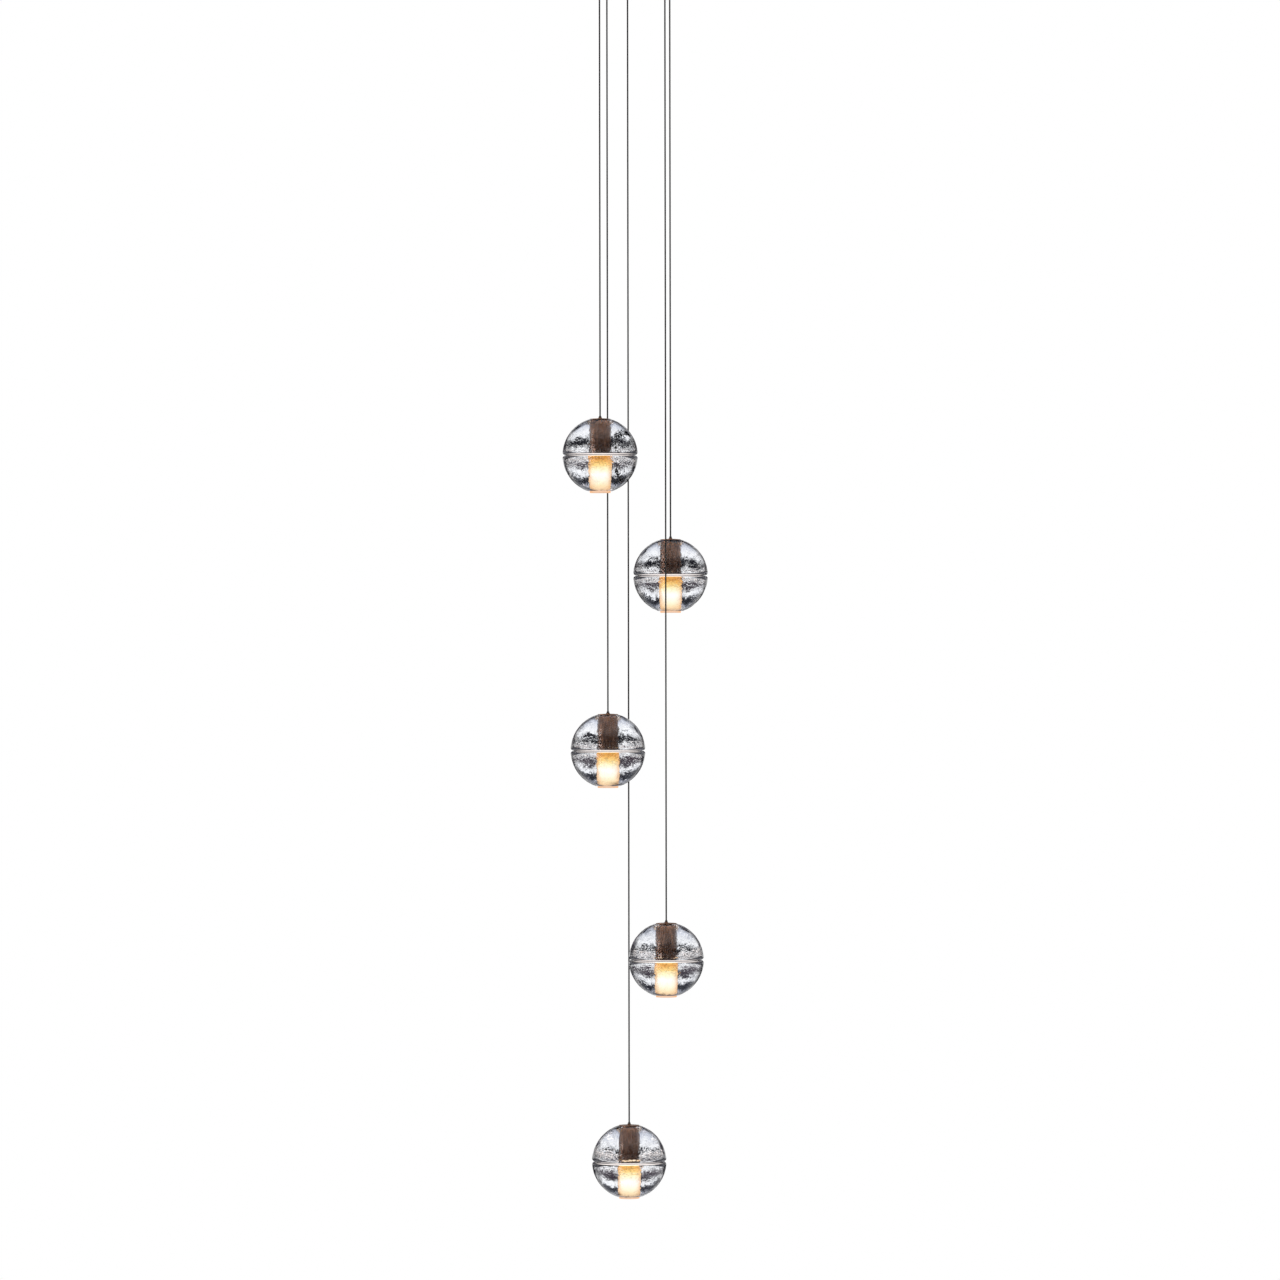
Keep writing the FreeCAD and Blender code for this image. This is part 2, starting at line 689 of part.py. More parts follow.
def cable_tail(pendant):
    """Tail of a cable: up out of its grip, across the canopy and up into its terminal port."""
    start = FreeCAD.Vector(pendant["x"], pendant["y"], pivot_level + pivot_gap)
    first = FreeCAD.Vector(pendant["x"], pendant["y"], tail_level)
    port_x = terminal_way_x(pendant["terminal_way"])
    second = FreeCAD.Vector(port_x, terminal_centre_y, tail_level)
    port_top = plate_underside - seat_clearance - terminal_height + terminal_port_depth
    end = FreeCAD.Vector(port_x, terminal_centre_y, port_top - free_clearance)
    up = FreeCAD.Vector(0, 0, 1)
    across = (second - first).normalize()
    bend = tail_bend_radius
    slack = bend * (1 - math.sqrt(0.5))
    leave = first - up * bend
    join = first + across * bend
    part = second - across * bend
    arrive = second + up * bend
    edges = [
        Part.LineSegment(start, leave).toShape(),
        Part.Arc(leave, first + (across - up) * slack, join).toShape(),
        Part.LineSegment(join, part).toShape(),
        Part.Arc(part, second + (up - across) * slack, arrive).toShape(),
        Part.LineSegment(arrive, end).toShape(),
    ]
    section = Part.Wire(Part.makeCircle(cable_radius, start, up))
    return Part.Wire(edges).makePipeShell([section], True, False)


def group(shapes):
    """Several separate solids as one node."""
    return Part.makeCompound(shapes)


def canopy_nodes():
    """Every piece of the canopy by its node's name."""
    places = [(pendant["x"], pendant["y"]) for pendant in pendants]
    return {
        "mounting_plate": mounting_plate(),
        "canopy_cover": canopy_cover(),
        "canopy_screws": group([canopy_screw(angle) for angle in canopy_screw_angles()]),
        "cable_grips": group([moved(cable_grip(), x, y) for x, y in places]),
        "grip_nuts": group([moved(grip_nut(), x, y) for x, y in places]),
        "transformer": transformer(),
        "terminal_block": terminal_block(),
        "supply_bushing": supply_bushing(),
        "plate_screws": group([moved(plate_screw(), x, y) for x, y in plate_screw_places()]),
        "cable_tails": group([cable_tail(pendant) for pendant in pendants]),
    }


def pendant_nodes(pendant):
    """Every piece of one pendant by its node's name."""
    drop = pendant["drop"]
    number = pendant["number"]
    pieces = {
        "cable_boot": cable_boot(),
        "cable_stop": cable_stop(),
        "top_cap": top_cap(),
        "upper_glass": upper_glass(),
        "lower_glass": lower_glass(),
        "lamp_sleeve": lamp_sleeve(),
        "lamp_holder": lamp_holder(),
        "lamp": lamp(),
        "diffuser": diffuser(),
    }
    nodes = {}
    for name, piece in pieces.items():
        nodes[f"{name}_{number}"] = moved(piece, pendant["x"], pendant["y"], -drop)
    nodes[f"hanging_cable_{number}"] = moved(hanging_cable(drop), pendant["x"], pendant["y"])
    return nodes


nodes = canopy_nodes()
for pendant in pendants:
    nodes.update(pendant_nodes(pendant))
os.makedirs("parts", exist_ok=True)
for name, shape in nodes.items():
    shape.exportStep(f"parts/{name}.step")
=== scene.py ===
"""Ceiling chandelier: five solid cast-glass globes with lit frosted tubes, hung on straight cables.

Metres, Z up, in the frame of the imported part. The origin is the centre of the canopy's mounting
plate, on the ceiling plane, and the front of the chandelier faces -Y.
"""

from __future__ import annotations

import logging
import math
from dataclasses import dataclass
from enum import Enum
from typing import Any, Iterable

import bmesh
import bpy
import numpy as np
from bpy.types import ColorRamp, ID, Material, Mesh, Node, NodeSocket, NodeTree, Object, World
from mathutils import Color, Matrix, Vector

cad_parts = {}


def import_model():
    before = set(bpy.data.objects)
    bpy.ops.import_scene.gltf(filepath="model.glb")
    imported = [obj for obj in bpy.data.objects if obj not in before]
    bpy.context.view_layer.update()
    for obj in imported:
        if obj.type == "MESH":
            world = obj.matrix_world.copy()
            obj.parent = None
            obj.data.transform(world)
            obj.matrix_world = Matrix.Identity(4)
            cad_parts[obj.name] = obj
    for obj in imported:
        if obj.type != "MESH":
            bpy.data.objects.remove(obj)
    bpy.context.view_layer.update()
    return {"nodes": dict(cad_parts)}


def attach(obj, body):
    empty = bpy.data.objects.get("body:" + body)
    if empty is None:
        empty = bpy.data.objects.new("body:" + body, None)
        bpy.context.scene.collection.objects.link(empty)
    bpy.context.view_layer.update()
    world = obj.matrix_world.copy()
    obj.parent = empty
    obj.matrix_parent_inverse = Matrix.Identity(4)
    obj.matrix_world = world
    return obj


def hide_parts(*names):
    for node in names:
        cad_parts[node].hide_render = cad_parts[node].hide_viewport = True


LOG = logging.getLogger("chandelier")
MM = 0.001
TOUCH = MM / 1000
OWN_SPOT = "own_spot"
RIPPLE_SHARE = "ripple_share"
WAVE_SHARE = "wave_share"
TRUE_NORMAL = "true_normal"


class Slot(Enum):
    """Material slots that the pieces take their finish from."""

    CAST_GLASS = "cast_glass"
    FROSTED_GLASS = "frosted_glass"
    LAMP_GLASS = "lamp_glass"
    GLOBE_BRONZE = "globe_bronze"
    GRIP_BRONZE = "grip_bronze"
    CANOPY_BRONZE = "canopy_bronze"
    ZINC_STEEL = "zinc_steel"
    BRASS_CRIMP = "brass_crimp"
    CABLE_BRAID = "cable_braid"
    BLACK_RUBBER = "black_rubber"
    WHITE_CERAMIC = "white_ceramic"
    TRANSFORMER_CASE = "transformer_case"
    TERMINAL_PLASTIC = "terminal_plastic"


class Half(Enum):
    """The two halves of a globe."""

    UPPER = "upper"
    LOWER = "lower"


def linear(*levels: int) -> tuple[float, ...]:
    """Scene-linear colour of an 8-bit display colour."""
    return (*Color([level / 255 for level in levels]).from_srgb_to_scene_linear(), 1.0)


BLACK = linear(0, 0, 0)
WHITE = linear(255, 255, 255)


def placed(name: str, data: ID) -> Object:
    """New object, linked to the scene.

    Args:
        name: its name.
        data: its mesh, curve, camera or light.

    Returns:
        The object.
    """
    item = bpy.data.objects.new(name, data)
    bpy.context.scene.collection.objects.link(item)
    return item


class Term:
    """A node's output, or a number, in an expression that adds its own Math nodes."""

    def __init__(self, bench: Bench, source: Any) -> None:
        """Keeps the node bench that the expression belongs to, and its socket or number."""
        self.bench = bench
        self.source = source

    def math(self, operation: str, *others: Any) -> Term:
        """Result of one Math node on this and further operands, terms or numbers."""
        return self.bench.add("ShaderNodeMath", dict(enumerate((self, *others))), operation=operation)

    def __add__(self, other: Any) -> Term:
        """Sum."""
        return self.math("ADD", other)

    def __sub__(self, other: Any) -> Term:
        """Difference."""
        return self.math("SUBTRACT", other)

    def __rsub__(self, other: Any) -> Term:
        """Difference, from the right."""
        return Term(self.bench, other).math("SUBTRACT", self)

    def __mul__(self, other: Any) -> Term:
        """Product."""
        return self.math("MULTIPLY", other)

    def __truediv__(self, other: Any) -> Term:
        """Quotient."""
        return self.math("DIVIDE", other)

    def __rtruediv__(self, other: Any) -> Term:
        """Quotient, from the right."""
        return Term(self.bench, other).math("DIVIDE", self)

    __radd__ = __add__
    __rmul__ = __mul__

    def ramped(self, low: float, high: float) -> Term:
        """Smooth step from 0 at low to 1 at high."""
        inputs = {0: self, 1: low, 2: high}
        return self.bench.add("ShaderNodeMapRange", inputs, interpolation_type="SMOOTHSTEP")


class Bench:
    """A node tree in the making, of a material, the world or Geometry Nodes."""

    def __init__(self, tree: NodeTree) -> None:
        """Keeps the tree and starts it empty."""
        self.tree = tree
        self.tree.nodes.clear()

    def node(self, kind: str, inputs: dict | None = None, **settings: Any) -> Node:
        """Adds a node.

        Args:
            kind: the node's type.
            inputs: values or terms for its sockets, by name or number.
            settings: its properties, set first; "stops" are a ramp's positions and 8-bit colours.

        Returns:
            The node.
        """
        node = self.tree.nodes.new(kind)
        for name, value in settings.items():
            if name == "stops":
                self.set_stops(node.color_ramp, value)
            else:
                setattr(node, name, value)
        for name, value in (inputs or {}).items():
            source = value.source if isinstance(value, Term) else value
            if isinstance(source, NodeSocket):
                self.tree.links.new(source, node.inputs[name])
            elif source is not None:
                node.inputs[name].default_value = source
        return node

    def add(self, kind: str, inputs: dict | None = None, output: int | str = 0, **settings: Any) -> Term:
        """Adds a node and gives one of its outputs as a term; see node()."""
        return Term(self, self.node(kind, inputs, **settings).outputs[output])

    def several(self, node: Node, outputs: Iterable) -> list[Term]:
        """Several of a node's outputs as terms, by name or number."""
        return [Term(self, node.outputs[output]) for output in outputs]

    def set_stops(self, ramp: ColorRamp, stops: Iterable[tuple[float, tuple]]) -> None:
        """Gives a ramp its stops; it comes with two.

        Args:
            ramp: the ramp.
            stops: positions from 0 to 1, each with its 8-bit colour.
        """
        for index, (position, tone) in enumerate(stops):
            stop = ramp.elements[index] if index < 2 else ramp.elements.new(position)
            stop.position = position
            stop.color = linear(*tone)


@dataclass(frozen=True)
class Grain:
    """A noise pattern: its grains' size in metres, finer layers, swirl, stretch, and a ramp's span."""

    size: float
    detail: float = 2.0
    swirl: float = 0.0
    stretch: tuple | None = None
    span: tuple = (0.0, 1.0)


class Shader(Bench):
    """The nodes of a material or the world, with the patterns that the finishes share."""

    def __init__(self, name: str, world: bool = False) -> None:
        """Makes the material or the world.

        Args:
            name: its name.
            world: whether it is a world.
        """
        self.owner = (bpy.data.worlds if world else bpy.data.materials).new(name)
        self.owner.use_nodes = True
        super().__init__(self.owner.node_tree)

    def spot(self) -> Term:
        """Place on the whole part, in metres."""
        return self.add("ShaderNodeTexCoord", output="Object")

    def own_spot(self) -> Term:
        """Place on the piece, in metres from its own centre."""
        return self.add("ShaderNodeAttribute", output="Vector", attribute_name=OWN_SPOT)

    def parts(self, vector: Term) -> list[Term]:
        """X, Y and Z of a vector."""
        return self.several(self.node("ShaderNodeSeparateXYZ", {0: vector}), range(3))

    def own_height(self) -> Term:
        """Height on the piece, in metres from its own centre."""
        return self.parts(self.own_spot())[2]

    def round_axis(self) -> tuple[Term, Term]:
        """Distance from the whole part's upright axis, and height."""
        across, along, height = self.parts(self.spot())
        return (across * across + along * along).math("SQRT"), height

    def facing(self) -> Term:
        """How far the surface turns from the ray, 0 to 1."""
        return self.add("ShaderNodeLayerWeight", output="Facing")

    def rays(self) -> tuple[Term, Term]:
        """What kind of ray it is.

        Returns:
            Whether it comes from the camera, and whether from gloss or glass.
        """
        names = ("Is Camera Ray", "Is Glossy Ray", "Is Transmission Ray")
        camera, gloss, through = self.several(self.node("ShaderNodeLightPath"), names)
        return camera, gloss.math("MAXIMUM", through)

    def noise(self, grain: Grain, vector: Term | None = None) -> Term:
        """Noise from 0 to 1.

        Args:
            grain: the pattern.
            vector: where it is read; the place on the whole part if not given.

        Returns:
            The noise, not yet ramped over its span.
        """
        place = vector or self.spot()
        if grain.stretch:
            place = self.add("ShaderNodeVectorMath", {0: place, 1: grain.stretch}, operation="MULTIPLY")
        inputs = {"Vector": place, "Scale": 1 / grain.size}
        inputs.update({"Detail": grain.detail, "Distortion": grain.swirl})
        return self.add("ShaderNodeTexNoise", inputs)

    def patchy(self, grain: Grain) -> Term:
        """Noise ramped over its pattern's span."""
        return self.noise(grain).ramped(*grain.span)

    def mixed(self, share: Any, first: Any, second: Any) -> Term:
        """Colour between two, by a share from 0 to 1."""
        return self.add("ShaderNodeMix", {0: share, 6: first, 7: second}, 2, data_type="RGBA")

    def bump(self, height: Term, depth: float) -> Term:
        """Normal of a surface with small relief, its depth in metres."""
        return self.add("ShaderNodeBump", {"Height": height, "Distance": depth}, "Normal")

    def surface(self, **inputs: Any) -> Term:
        """Principled surface; the inputs' names are its sockets' with _ for spaces."""
        named = {name.replace("_", " "): value for name, value in inputs.items()}
        return self.add("ShaderNodeBsdfPrincipled", named)

    def done(self, surface: Term, volume: Term | None = None) -> Material | World:
        """Ends the tree with its output and gives the material or the world."""
        self.node(f"ShaderNodeOutput{type(self.owner).__name__}", {"Surface": surface, "Volume": volume})
        return self.owner


@dataclass(frozen=True)
class Finish:
    """A finish of one slot; each kind of it lays its own nodes."""

    slot: Slot

    def surface(self, shader: Shader) -> Term:
        """Lays the nodes of the surface.

        Args:
            shader: the material's nodes.

        Returns:
            The surface.
        """
        raise NotImplementedError

    def material(self) -> Material:
        """The finish's material."""
        shader = Shader(self.slot.value)
        return shader.done(self.surface(shader))


@dataclass(frozen=True)
class CastGlass(Finish):
    """Clear cast glass: dimpled near the seam; painted shade as grey-blue streaks, dark specks near the
    seam and a dark rim where a ray grazes its skin; painted lamp light glowing along the seam.
    """

    slot: Slot = Slot.CAST_GLASS
    body: tuple = linear(250, 251, 253)
    # Painted shade: grey-blue streaks mixed into the clear glass, standing in for its mottle of refracted
    # shade.
    streak: tuple = linear(160, 166, 182)
    streak_share: float = 0.28
    # Painted shade: dark specks mixed into the clear glass near the seam, standing in for the dimples'
    # refracted shade.
    speck: tuple = linear(96, 98, 112)
    speck_share: float = 0.45
    # Painted shade: a dark rim mixed into the glass's colour where a ray grazes its skin, stronger near the
    # seam and in patches.
    outline: tuple = linear(14, 14, 20)
    graze: tuple = (0.52, 0.8)
    patch_graze: float = 0.3
    seam_graze: float = 1.5
    # Painted light: the lamp's light in the seam, glowing as emission along the seam and fading where a ray
    # grazes.
    glow: tuple = linear(228, 220, 216)
    glow_strength: float = 1.5
    glow_facing: tuple = (0.5, 0.72)
    smoke: tuple = linear(166, 170, 183)
    smoke_density: float = 0.8
    refraction: float = 1.3
    skin: tuple = (44.0 * MM, 46.0 * MM)
    dimple_band: tuple = (11.25 * MM, 25.0 * MM)
    graze_band: tuple = (2.0 * MM, 6.5 * MM)
    glow_band: tuple = (1.0 * MM, 2.0 * MM)
    dimple_depth: float = 0.28
    wave_depth: float = 0.5
    dimples: Grain = Grain(6.0 * MM, 1.0, 0.6, (1, 1, 1.5), (0.3, 0.7))
    waves: Grain = Grain(8.0 * MM, 1.0, 0.6, (1, 1, 1.4))
    patches: Grain = Grain(20.0 * MM, 2.0, 0.8, span=(0.45, 0.68))
    streaks: Grain = Grain(7.0 * MM, 3.0, 1.2, (1, 1, 0.45), (0.45, 0.75))
    specks: Grain = Grain(3.2 * MM, 1.0, 0.0, (1, 1, 1.3), (0.48, 0.62))

    def surface(self, shader: Shader) -> Term:
        """Nodes of the glass; see Finish.surface().

        A band is the two heights from the seam between which a pattern fades out.
        """
        own = shader.own_spot()
        height = shader.parts(own)[2].math("ABSOLUTE")
        reach = shader.add("ShaderNodeVectorMath", {0: own}, "Value", operation="LENGTH")
        skin = reach.ramped(*self.skin)
        facing = shader.facing()
        band = (1.0 - height.ramped(*self.dimple_band)) * skin
        near_seam = 1.0 - height.ramped(*self.graze_band)
        patches = shader.patchy(self.patches)
        # Painted rim shade: how far the ray grazes, raised near the seam and in patches.
        graze = facing * (patches * self.patch_graze + near_seam * self.seam_graze + 1.0)
        # Painted streak shade over the clear glass.
        clear = shader.mixed(shader.patchy(self.streaks) * self.streak_share, self.body, self.streak)
        # Painted shade: dark specks near the seam.
        painted_speck_shaded = shader.mixed(shader.patchy(self.specks) * band * self.speck_share, clear, self.speck)
        # Painted light: glow along the seam, weaker where the ray grazes.
        glow = (1.0 - height.ramped(*self.glow_band)) * skin * (1.0 - facing.ramped(*self.glow_facing))
        dimples = shader.patchy(self.dimples) * band * self.dimple_depth
        return shader.surface(
            Base_Color=shader.mixed(graze.ramped(*self.graze), painted_speck_shaded, self.outline),
            Roughness=0.0, IOR=self.refraction, Transmission_Weight=1.0,
            Emission_Color=shader.mixed(glow, BLACK, self.glow),
            Emission_Strength=self.glow_strength,
            Normal=shader.bump((shader.noise(self.waves) * self.wave_depth + dimples) * skin, MM),
        )

    def material(self) -> Material:
        """The glass, with the smoke in its thick; see Finish.material()."""
        shader = Shader(self.slot.value)
        inputs = {"Color": self.smoke, "Density": self.smoke_density}
        return shader.done(self.surface(shader), shader.add("ShaderNodeVolumeAbsorption", inputs))


@dataclass(frozen=True)
class FrostedGlow(Finish):
    """Frosted tube whose light from the lamp inside is painted in as glow: white-hot at the lamp, painted
    amber shade above it and peach at the foot.
    """

    slot: Slot = Slot.FROSTED_GLASS
    base: tuple = linear(92, 68, 44)
    roughness: float = 0.6
    gloss: float = 0.25
    strength: float = 1.2
    # Painted light, from the tube's foot to its top: peach at the foot, white-hot at the lamp, and amber
    # above it as painted shade where the holder shades the tube.
    stops: tuple = (
        (0.000, (196, 168, 148)), (0.045, (222, 186, 158)), (0.130, (240, 204, 158)),
        (0.250, (248, 224, 180)), (0.400, (255, 248, 224)), (0.540, (255, 255, 246)),
        (0.660, (255, 244, 202)), (0.760, (248, 210, 130)), (0.850, (226, 164, 76)),
        (0.925, (194, 122, 46)), (0.945, (255, 222, 176)), (1.000, (255, 232, 200)),
    )
    # Painted light: a warmer glow mixed in at the tube's sides, where the ray grazes it.
    side: tuple = linear(222, 160, 98)
    side_tint: float = 0.8
    side_share: float = 0.85
    side_facing: tuple = (0.02, 0.7)
    lowest: float = -49.6 * MM
    highest: float = 1.8 * MM
    cloud: Grain = Grain(5.0 * MM)
    cloud_shift: float = 0.05
    frost: Grain = Grain(0.35 * MM)
    frost_depth: float = 0.05 * MM

    def surface(self, shader: Shader) -> Term:
        """Nodes of the tube's painted glow; see Finish.surface()."""
        height = shader.own_height()
        share = (height - self.lowest) * (1 / (self.highest - self.lowest))
        place = share + (shader.noise(self.cloud) - 0.5) * self.cloud_shift
        glow = shader.add("ShaderNodeValToRGB", {0: place}, "Color", stops=self.stops)
        beside = shader.facing().ramped(*self.side_facing) * self.side_share
        return shader.surface(
            Base_Color=self.base, Roughness=self.roughness, Specular_IOR_Level=self.gloss,
            Emission_Color=shader.mixed(beside, glow, shader.mixed(self.side_tint, glow, self.side)),
            Emission_Strength=self.strength,
            Normal=shader.bump(shader.noise(self.frost), self.frost_depth),
        )


@dataclass(frozen=True)
class LampGlass(Finish):
    """Thin clear glass of a lit capsule lamp, with painted shade at its edges, and streaky in its pressed
    foot.
    """

    slot: Slot = Slot.LAMP_GLASS
    clear: tuple = linear(250, 248, 244)
    # Painted shade: a darker colour at the capsule's edges, where a ray grazes it.
    outline: tuple = linear(84, 76, 70)
    edge: tuple = (0.3, 0.85)
    glow: tuple = linear(255, 226, 178)
    strength: float = 0.16
    refraction: float = 1.46
    pressed: tuple = (-9.7 * MM, -8.2 * MM)
    streaks: Grain = Grain(1.2 * MM, stretch=(1, 1, 0.3))
    streak_depth: float = 0.3 * MM
    bulb_haze: float = 0.08
    foot_haze: float = 0.35

    def surface(self, shader: Shader) -> Term:
        """Nodes of the capsule's glass; see Finish.surface()."""
        pressed = shader.own_height().ramped(*self.pressed)
        streaks = shader.noise(self.streaks)
        edge = shader.facing().ramped(*self.edge)
        return shader.surface(
            Base_Color=shader.mixed(edge, self.clear, self.outline),
            Roughness=streaks * (pressed * self.foot_haze + self.bulb_haze),
            IOR=self.refraction, Transmission_Weight=1.0,
            Emission_Color=shader.mixed(edge, self.glow, BLACK),
            Emission_Strength=self.strength,
            Normal=shader.bump(streaks * pressed, self.streak_depth),
        )


@dataclass(frozen=True)
class Filament:
    """Glowing tungsten."""

    base: tuple = linear(90, 84, 78)
    warm: tuple = linear(255, 214, 140)
    hot: tuple = linear(255, 244, 214)
    strength: float = 3.0
    patches: Grain = Grain(0.8 * MM, span=(0.2, 0.7))

    def material(self) -> Material:
        """Nodes of the filament.

        Returns:
            Its material.
        """
        shader = Shader("filament")
        glow = shader.mixed(shader.patchy(self.patches), self.warm, self.hot)
        lit = {"Emission_Color": glow, "Emission_Strength": self.strength}
        return shader.done(shader.surface(Base_Color=self.base, **lit))


@dataclass(frozen=True)
class TurnedMetal(Finish):
    """Metal turned on a lathe: fine rings along its own axis with painted shade in their lines, worn
    lighter here and there, and painted shade towards its foot where given.
    """

    tone: tuple
    worn: tuple
    # Painted shade: a dark colour mixed into the turned rings' lines.
    grime: tuple = linear(24, 17, 13)
    grime_share: float = 0.1
    ring_pitch: float = 0.9 * MM
    ring_share: float = 0.5
    ring_depth: float = 0.04 * MM
    smoothest: float = 0.26
    rub: float = 0.25
    metallic: float = 0.9
    wear: Grain = Grain(4.0 * MM, 3.0, 0.0, (0.5, 0.5, 1.6), (0.35, 0.75))
    scratches: Grain = Grain(2.5 * MM, 3.0, stretch=(1, 1, 14))
    # Painted shade: the piece darker towards its foot, with the edge blurred by the wear pattern.
    foot: tuple | None = None
    foot_reach: float = 40.0 * MM
    foot_blur: float = 30.0 * MM

    def surface(self, shader: Shader) -> Term:
        """Nodes of the turned metal; see Finish.surface()."""
        height = shader.own_height()
        ring = (height * (2 * math.pi / self.ring_pitch)).math("SINE")
        wear = shader.noise(self.wear)
        colour = shader.mixed(wear.ramped(*self.wear.span), self.tone, self.worn)
        if self.foot:
            # Painted shade: darker towards the foot.
            rise = (height + (wear - 0.5) * self.foot_blur).ramped(0.0, self.foot_reach)
            colour = shader.mixed(rise, self.foot, colour)
        scratches = shader.noise(self.scratches)
        return shader.surface(
            # Painted shade in the rings' lines.
            Base_Color=shader.mixed(ring.ramped(-1, 1) * self.grime_share, colour, self.grime),
            Metallic=self.metallic,
            Roughness=scratches * self.rub + self.smoothest,
            Normal=shader.bump(ring * self.ring_share + scratches, self.ring_depth),
        )


@dataclass(frozen=True)
class SpunPlate(Finish):
    """Spun and brushed sheet: fine concentric lines, a plated tone, faint handling marks."""

    tone: tuple
    shade: tuple
    lines: Grain = Grain(0.6 * MM, 3.0, span=(0.3, 0.7))
    line_rub: float = 0.2
    line_depth: float = 0.03 * MM
    marks: Grain = Grain(30.0 * MM, 4.0, span=(0.4, 0.8))
    mark_share: float = 0.25
    mark_rub: float = 0.12
    smoothest: float = 0.18
    metallic: float = 0.95

    def surface(self, shader: Shader) -> Term:
        """Nodes of the spun plate; see Finish.surface()."""
        reach, height = shader.round_axis()
        lines = shader.noise(self.lines, shader.add("ShaderNodeCombineXYZ", {0: reach, 1: height}))
        marks = shader.noise(self.marks)
        colour = shader.mixed(lines.ramped(*self.lines.span), self.shade, self.tone)
        return shader.surface(
            Base_Color=shader.mixed(marks.ramped(*self.marks.span) * self.mark_share, colour, self.shade),
            Metallic=self.metallic,
            Roughness=lines * self.line_rub + marks * self.mark_rub + self.smoothest,
            Normal=shader.bump(lines, self.line_depth),
        )


@dataclass(frozen=True)
class Braid(Finish):
    """Fine dark metal braid over a round cable: two sets of helical strands that cross."""

    slot: Slot = Slot.CABLE_BRAID
    tone: tuple = linear(34, 32, 31)
    gap: tuple = linear(20, 19, 18)
    gap_span: tuple = (-0.2, 0.9)
    strands: int = 8
    pitch: float = 5.2 * MM
    depth: float = 0.08 * MM
    smoothest: float = 0.5
    rub: float = 0.08
    gloss: float = 0.3
    dust: Grain = Grain(25.0 * MM, 3.0, span=(0.5, 0.8))
    dust_tone: tuple = linear(48, 45, 43)
    dust_share: float = 0.3

    def surface(self, shader: Shader) -> Term:
        """Nodes of the braid; see Finish.surface()."""
        across, along, height = shader.parts(shader.own_spot())
        turn = along.math("ARCTAN2", across) * (self.strands / 2)
        climb = height * (math.pi * self.strands / self.pitch)
        weave = (turn + climb).math("SINE").math("MAXIMUM", (turn - climb).math("SINE"))
        colour = shader.mixed(weave.ramped(*self.gap_span), self.gap, self.tone)
        return shader.surface(
            Base_Color=shader.mixed(shader.patchy(self.dust) * self.dust_share, colour, self.dust_tone),
            Specular_IOR_Level=self.gloss,
            Roughness=weave * self.rub + self.smoothest,
            Normal=shader.bump(weave, self.depth),
        )


@dataclass(frozen=True)
class Moulded(Finish):
    """Moulded rubber, plastic or fired ceramic: fine skin texture and a slight mottle."""

    tone: tuple
    shade: tuple
    smoothest: float = 0.44
    metallic: float = 0.0
    skin: Grain = Grain(0.5 * MM)
    skin_rub: float = 0.12
    skin_depth: float = 0.03 * MM
    mottle: Grain = Grain(12.0 * MM, 4.0, span=(0.35, 0.8))
    mottle_rub: float = 0.0

    def surface(self, shader: Shader) -> Term:
        """Nodes of the skin; see Finish.surface()."""
        skin, mottle = shader.noise(self.skin), shader.noise(self.mottle)
        return shader.surface(
            Base_Color=shader.mixed(mottle.ramped(*self.mottle.span), self.tone, self.shade),
            Metallic=self.metallic,
            Roughness=skin * self.skin_rub + mottle * self.mottle_rub + self.smoothest,
            Normal=shader.bump(skin, self.skin_depth),
        )


@dataclass(frozen=True)
class PlainMetal(Moulded):
    """Zinc plate or bare brass: fine scratches and a crystalline blush."""

    smoothest: float = 0.21
    metallic: float = 0.8
    skin: Grain = Grain(4.0 * MM, stretch=(1, 9, 9))
    skin_rub: float = 0.1
    skin_depth: float = 0.02 * MM
    mottle: Grain = Grain(3.0 * MM, 4.0, 0.8, span=(0.3, 0.7))
    mottle_rub: float = 0.2


@dataclass
class Outline:
    """Closed outline of a lathe piece: radius, height, and shares of ripple and of skin wave at each point.

    A run's ripple fades out towards each end, over one part in `fade` of its length.
    """

    points: list
    step: float = 3.0 * MM
    fade: int = 4
    arc_steps: int = 3
    arc_rate: float = 3.5
    dimple: float = 0.1
    merge: int = 50

    def line(self, *places: tuple[float, float], ripple: float = 0.0) -> None:
        """Runs straight from point to point, in short steps.

        Args:
            places: the radius and height of each run's end.
            ripple: share of the casting's ripple along the runs.
        """
        for place in places:
            start = self.points[-1][:2]
            count = max(1, round(math.dist(start, place) / self.step))
            for index in range(1, count + 1):
                share = index / count
                fade = min(1.0, self.fade * share, self.fade * (1 - share)) if count > self.fade else 0.0
                radius, height = (first + (last - first) * share for first, last in zip(start, place))
                self.points.append((radius, height, ripple * fade, 0.0))

    def arc(
        self, centre: tuple, radius: float, first: float, last: float,
        wave: float = 0.0, dimple_reach: float = 0.0,
    ) -> None:
        """Runs round a centre from one angle to another, in radians.

        Args:
            centre: the arc's centre, as radius and height.
            radius: the arc's own radius.
            first: the angle where it starts.
            last: the angle where it ends.
            wave: share of the skin's slow wave along the arc.
            dimple_reach: height up to which the skin is dimpled.
        """
        count = max(self.arc_steps, math.ceil(abs(last - first) * max(radius / self.step, self.arc_rate)))
        for index in range(count + 1):
            angle = first + (last - first) * index / count
            place = (centre[0] + radius * math.cos(angle), centre[1] + radius * math.sin(angle))
            dimple = max(0.0, 1 - (place[1] / dimple_reach) ** 2) if dimple_reach else 0.0
            if index or math.dist(place, self.points[-1][:2]) > self.step / self.merge:
                self.points.append((*place, dimple * self.dimple, wave))

    def flipped(self) -> Outline:
        """The same outline upside down."""
        self.points = [(radius, -height, *shares) for radius, height, *shares in reversed(self.points)]
        return self


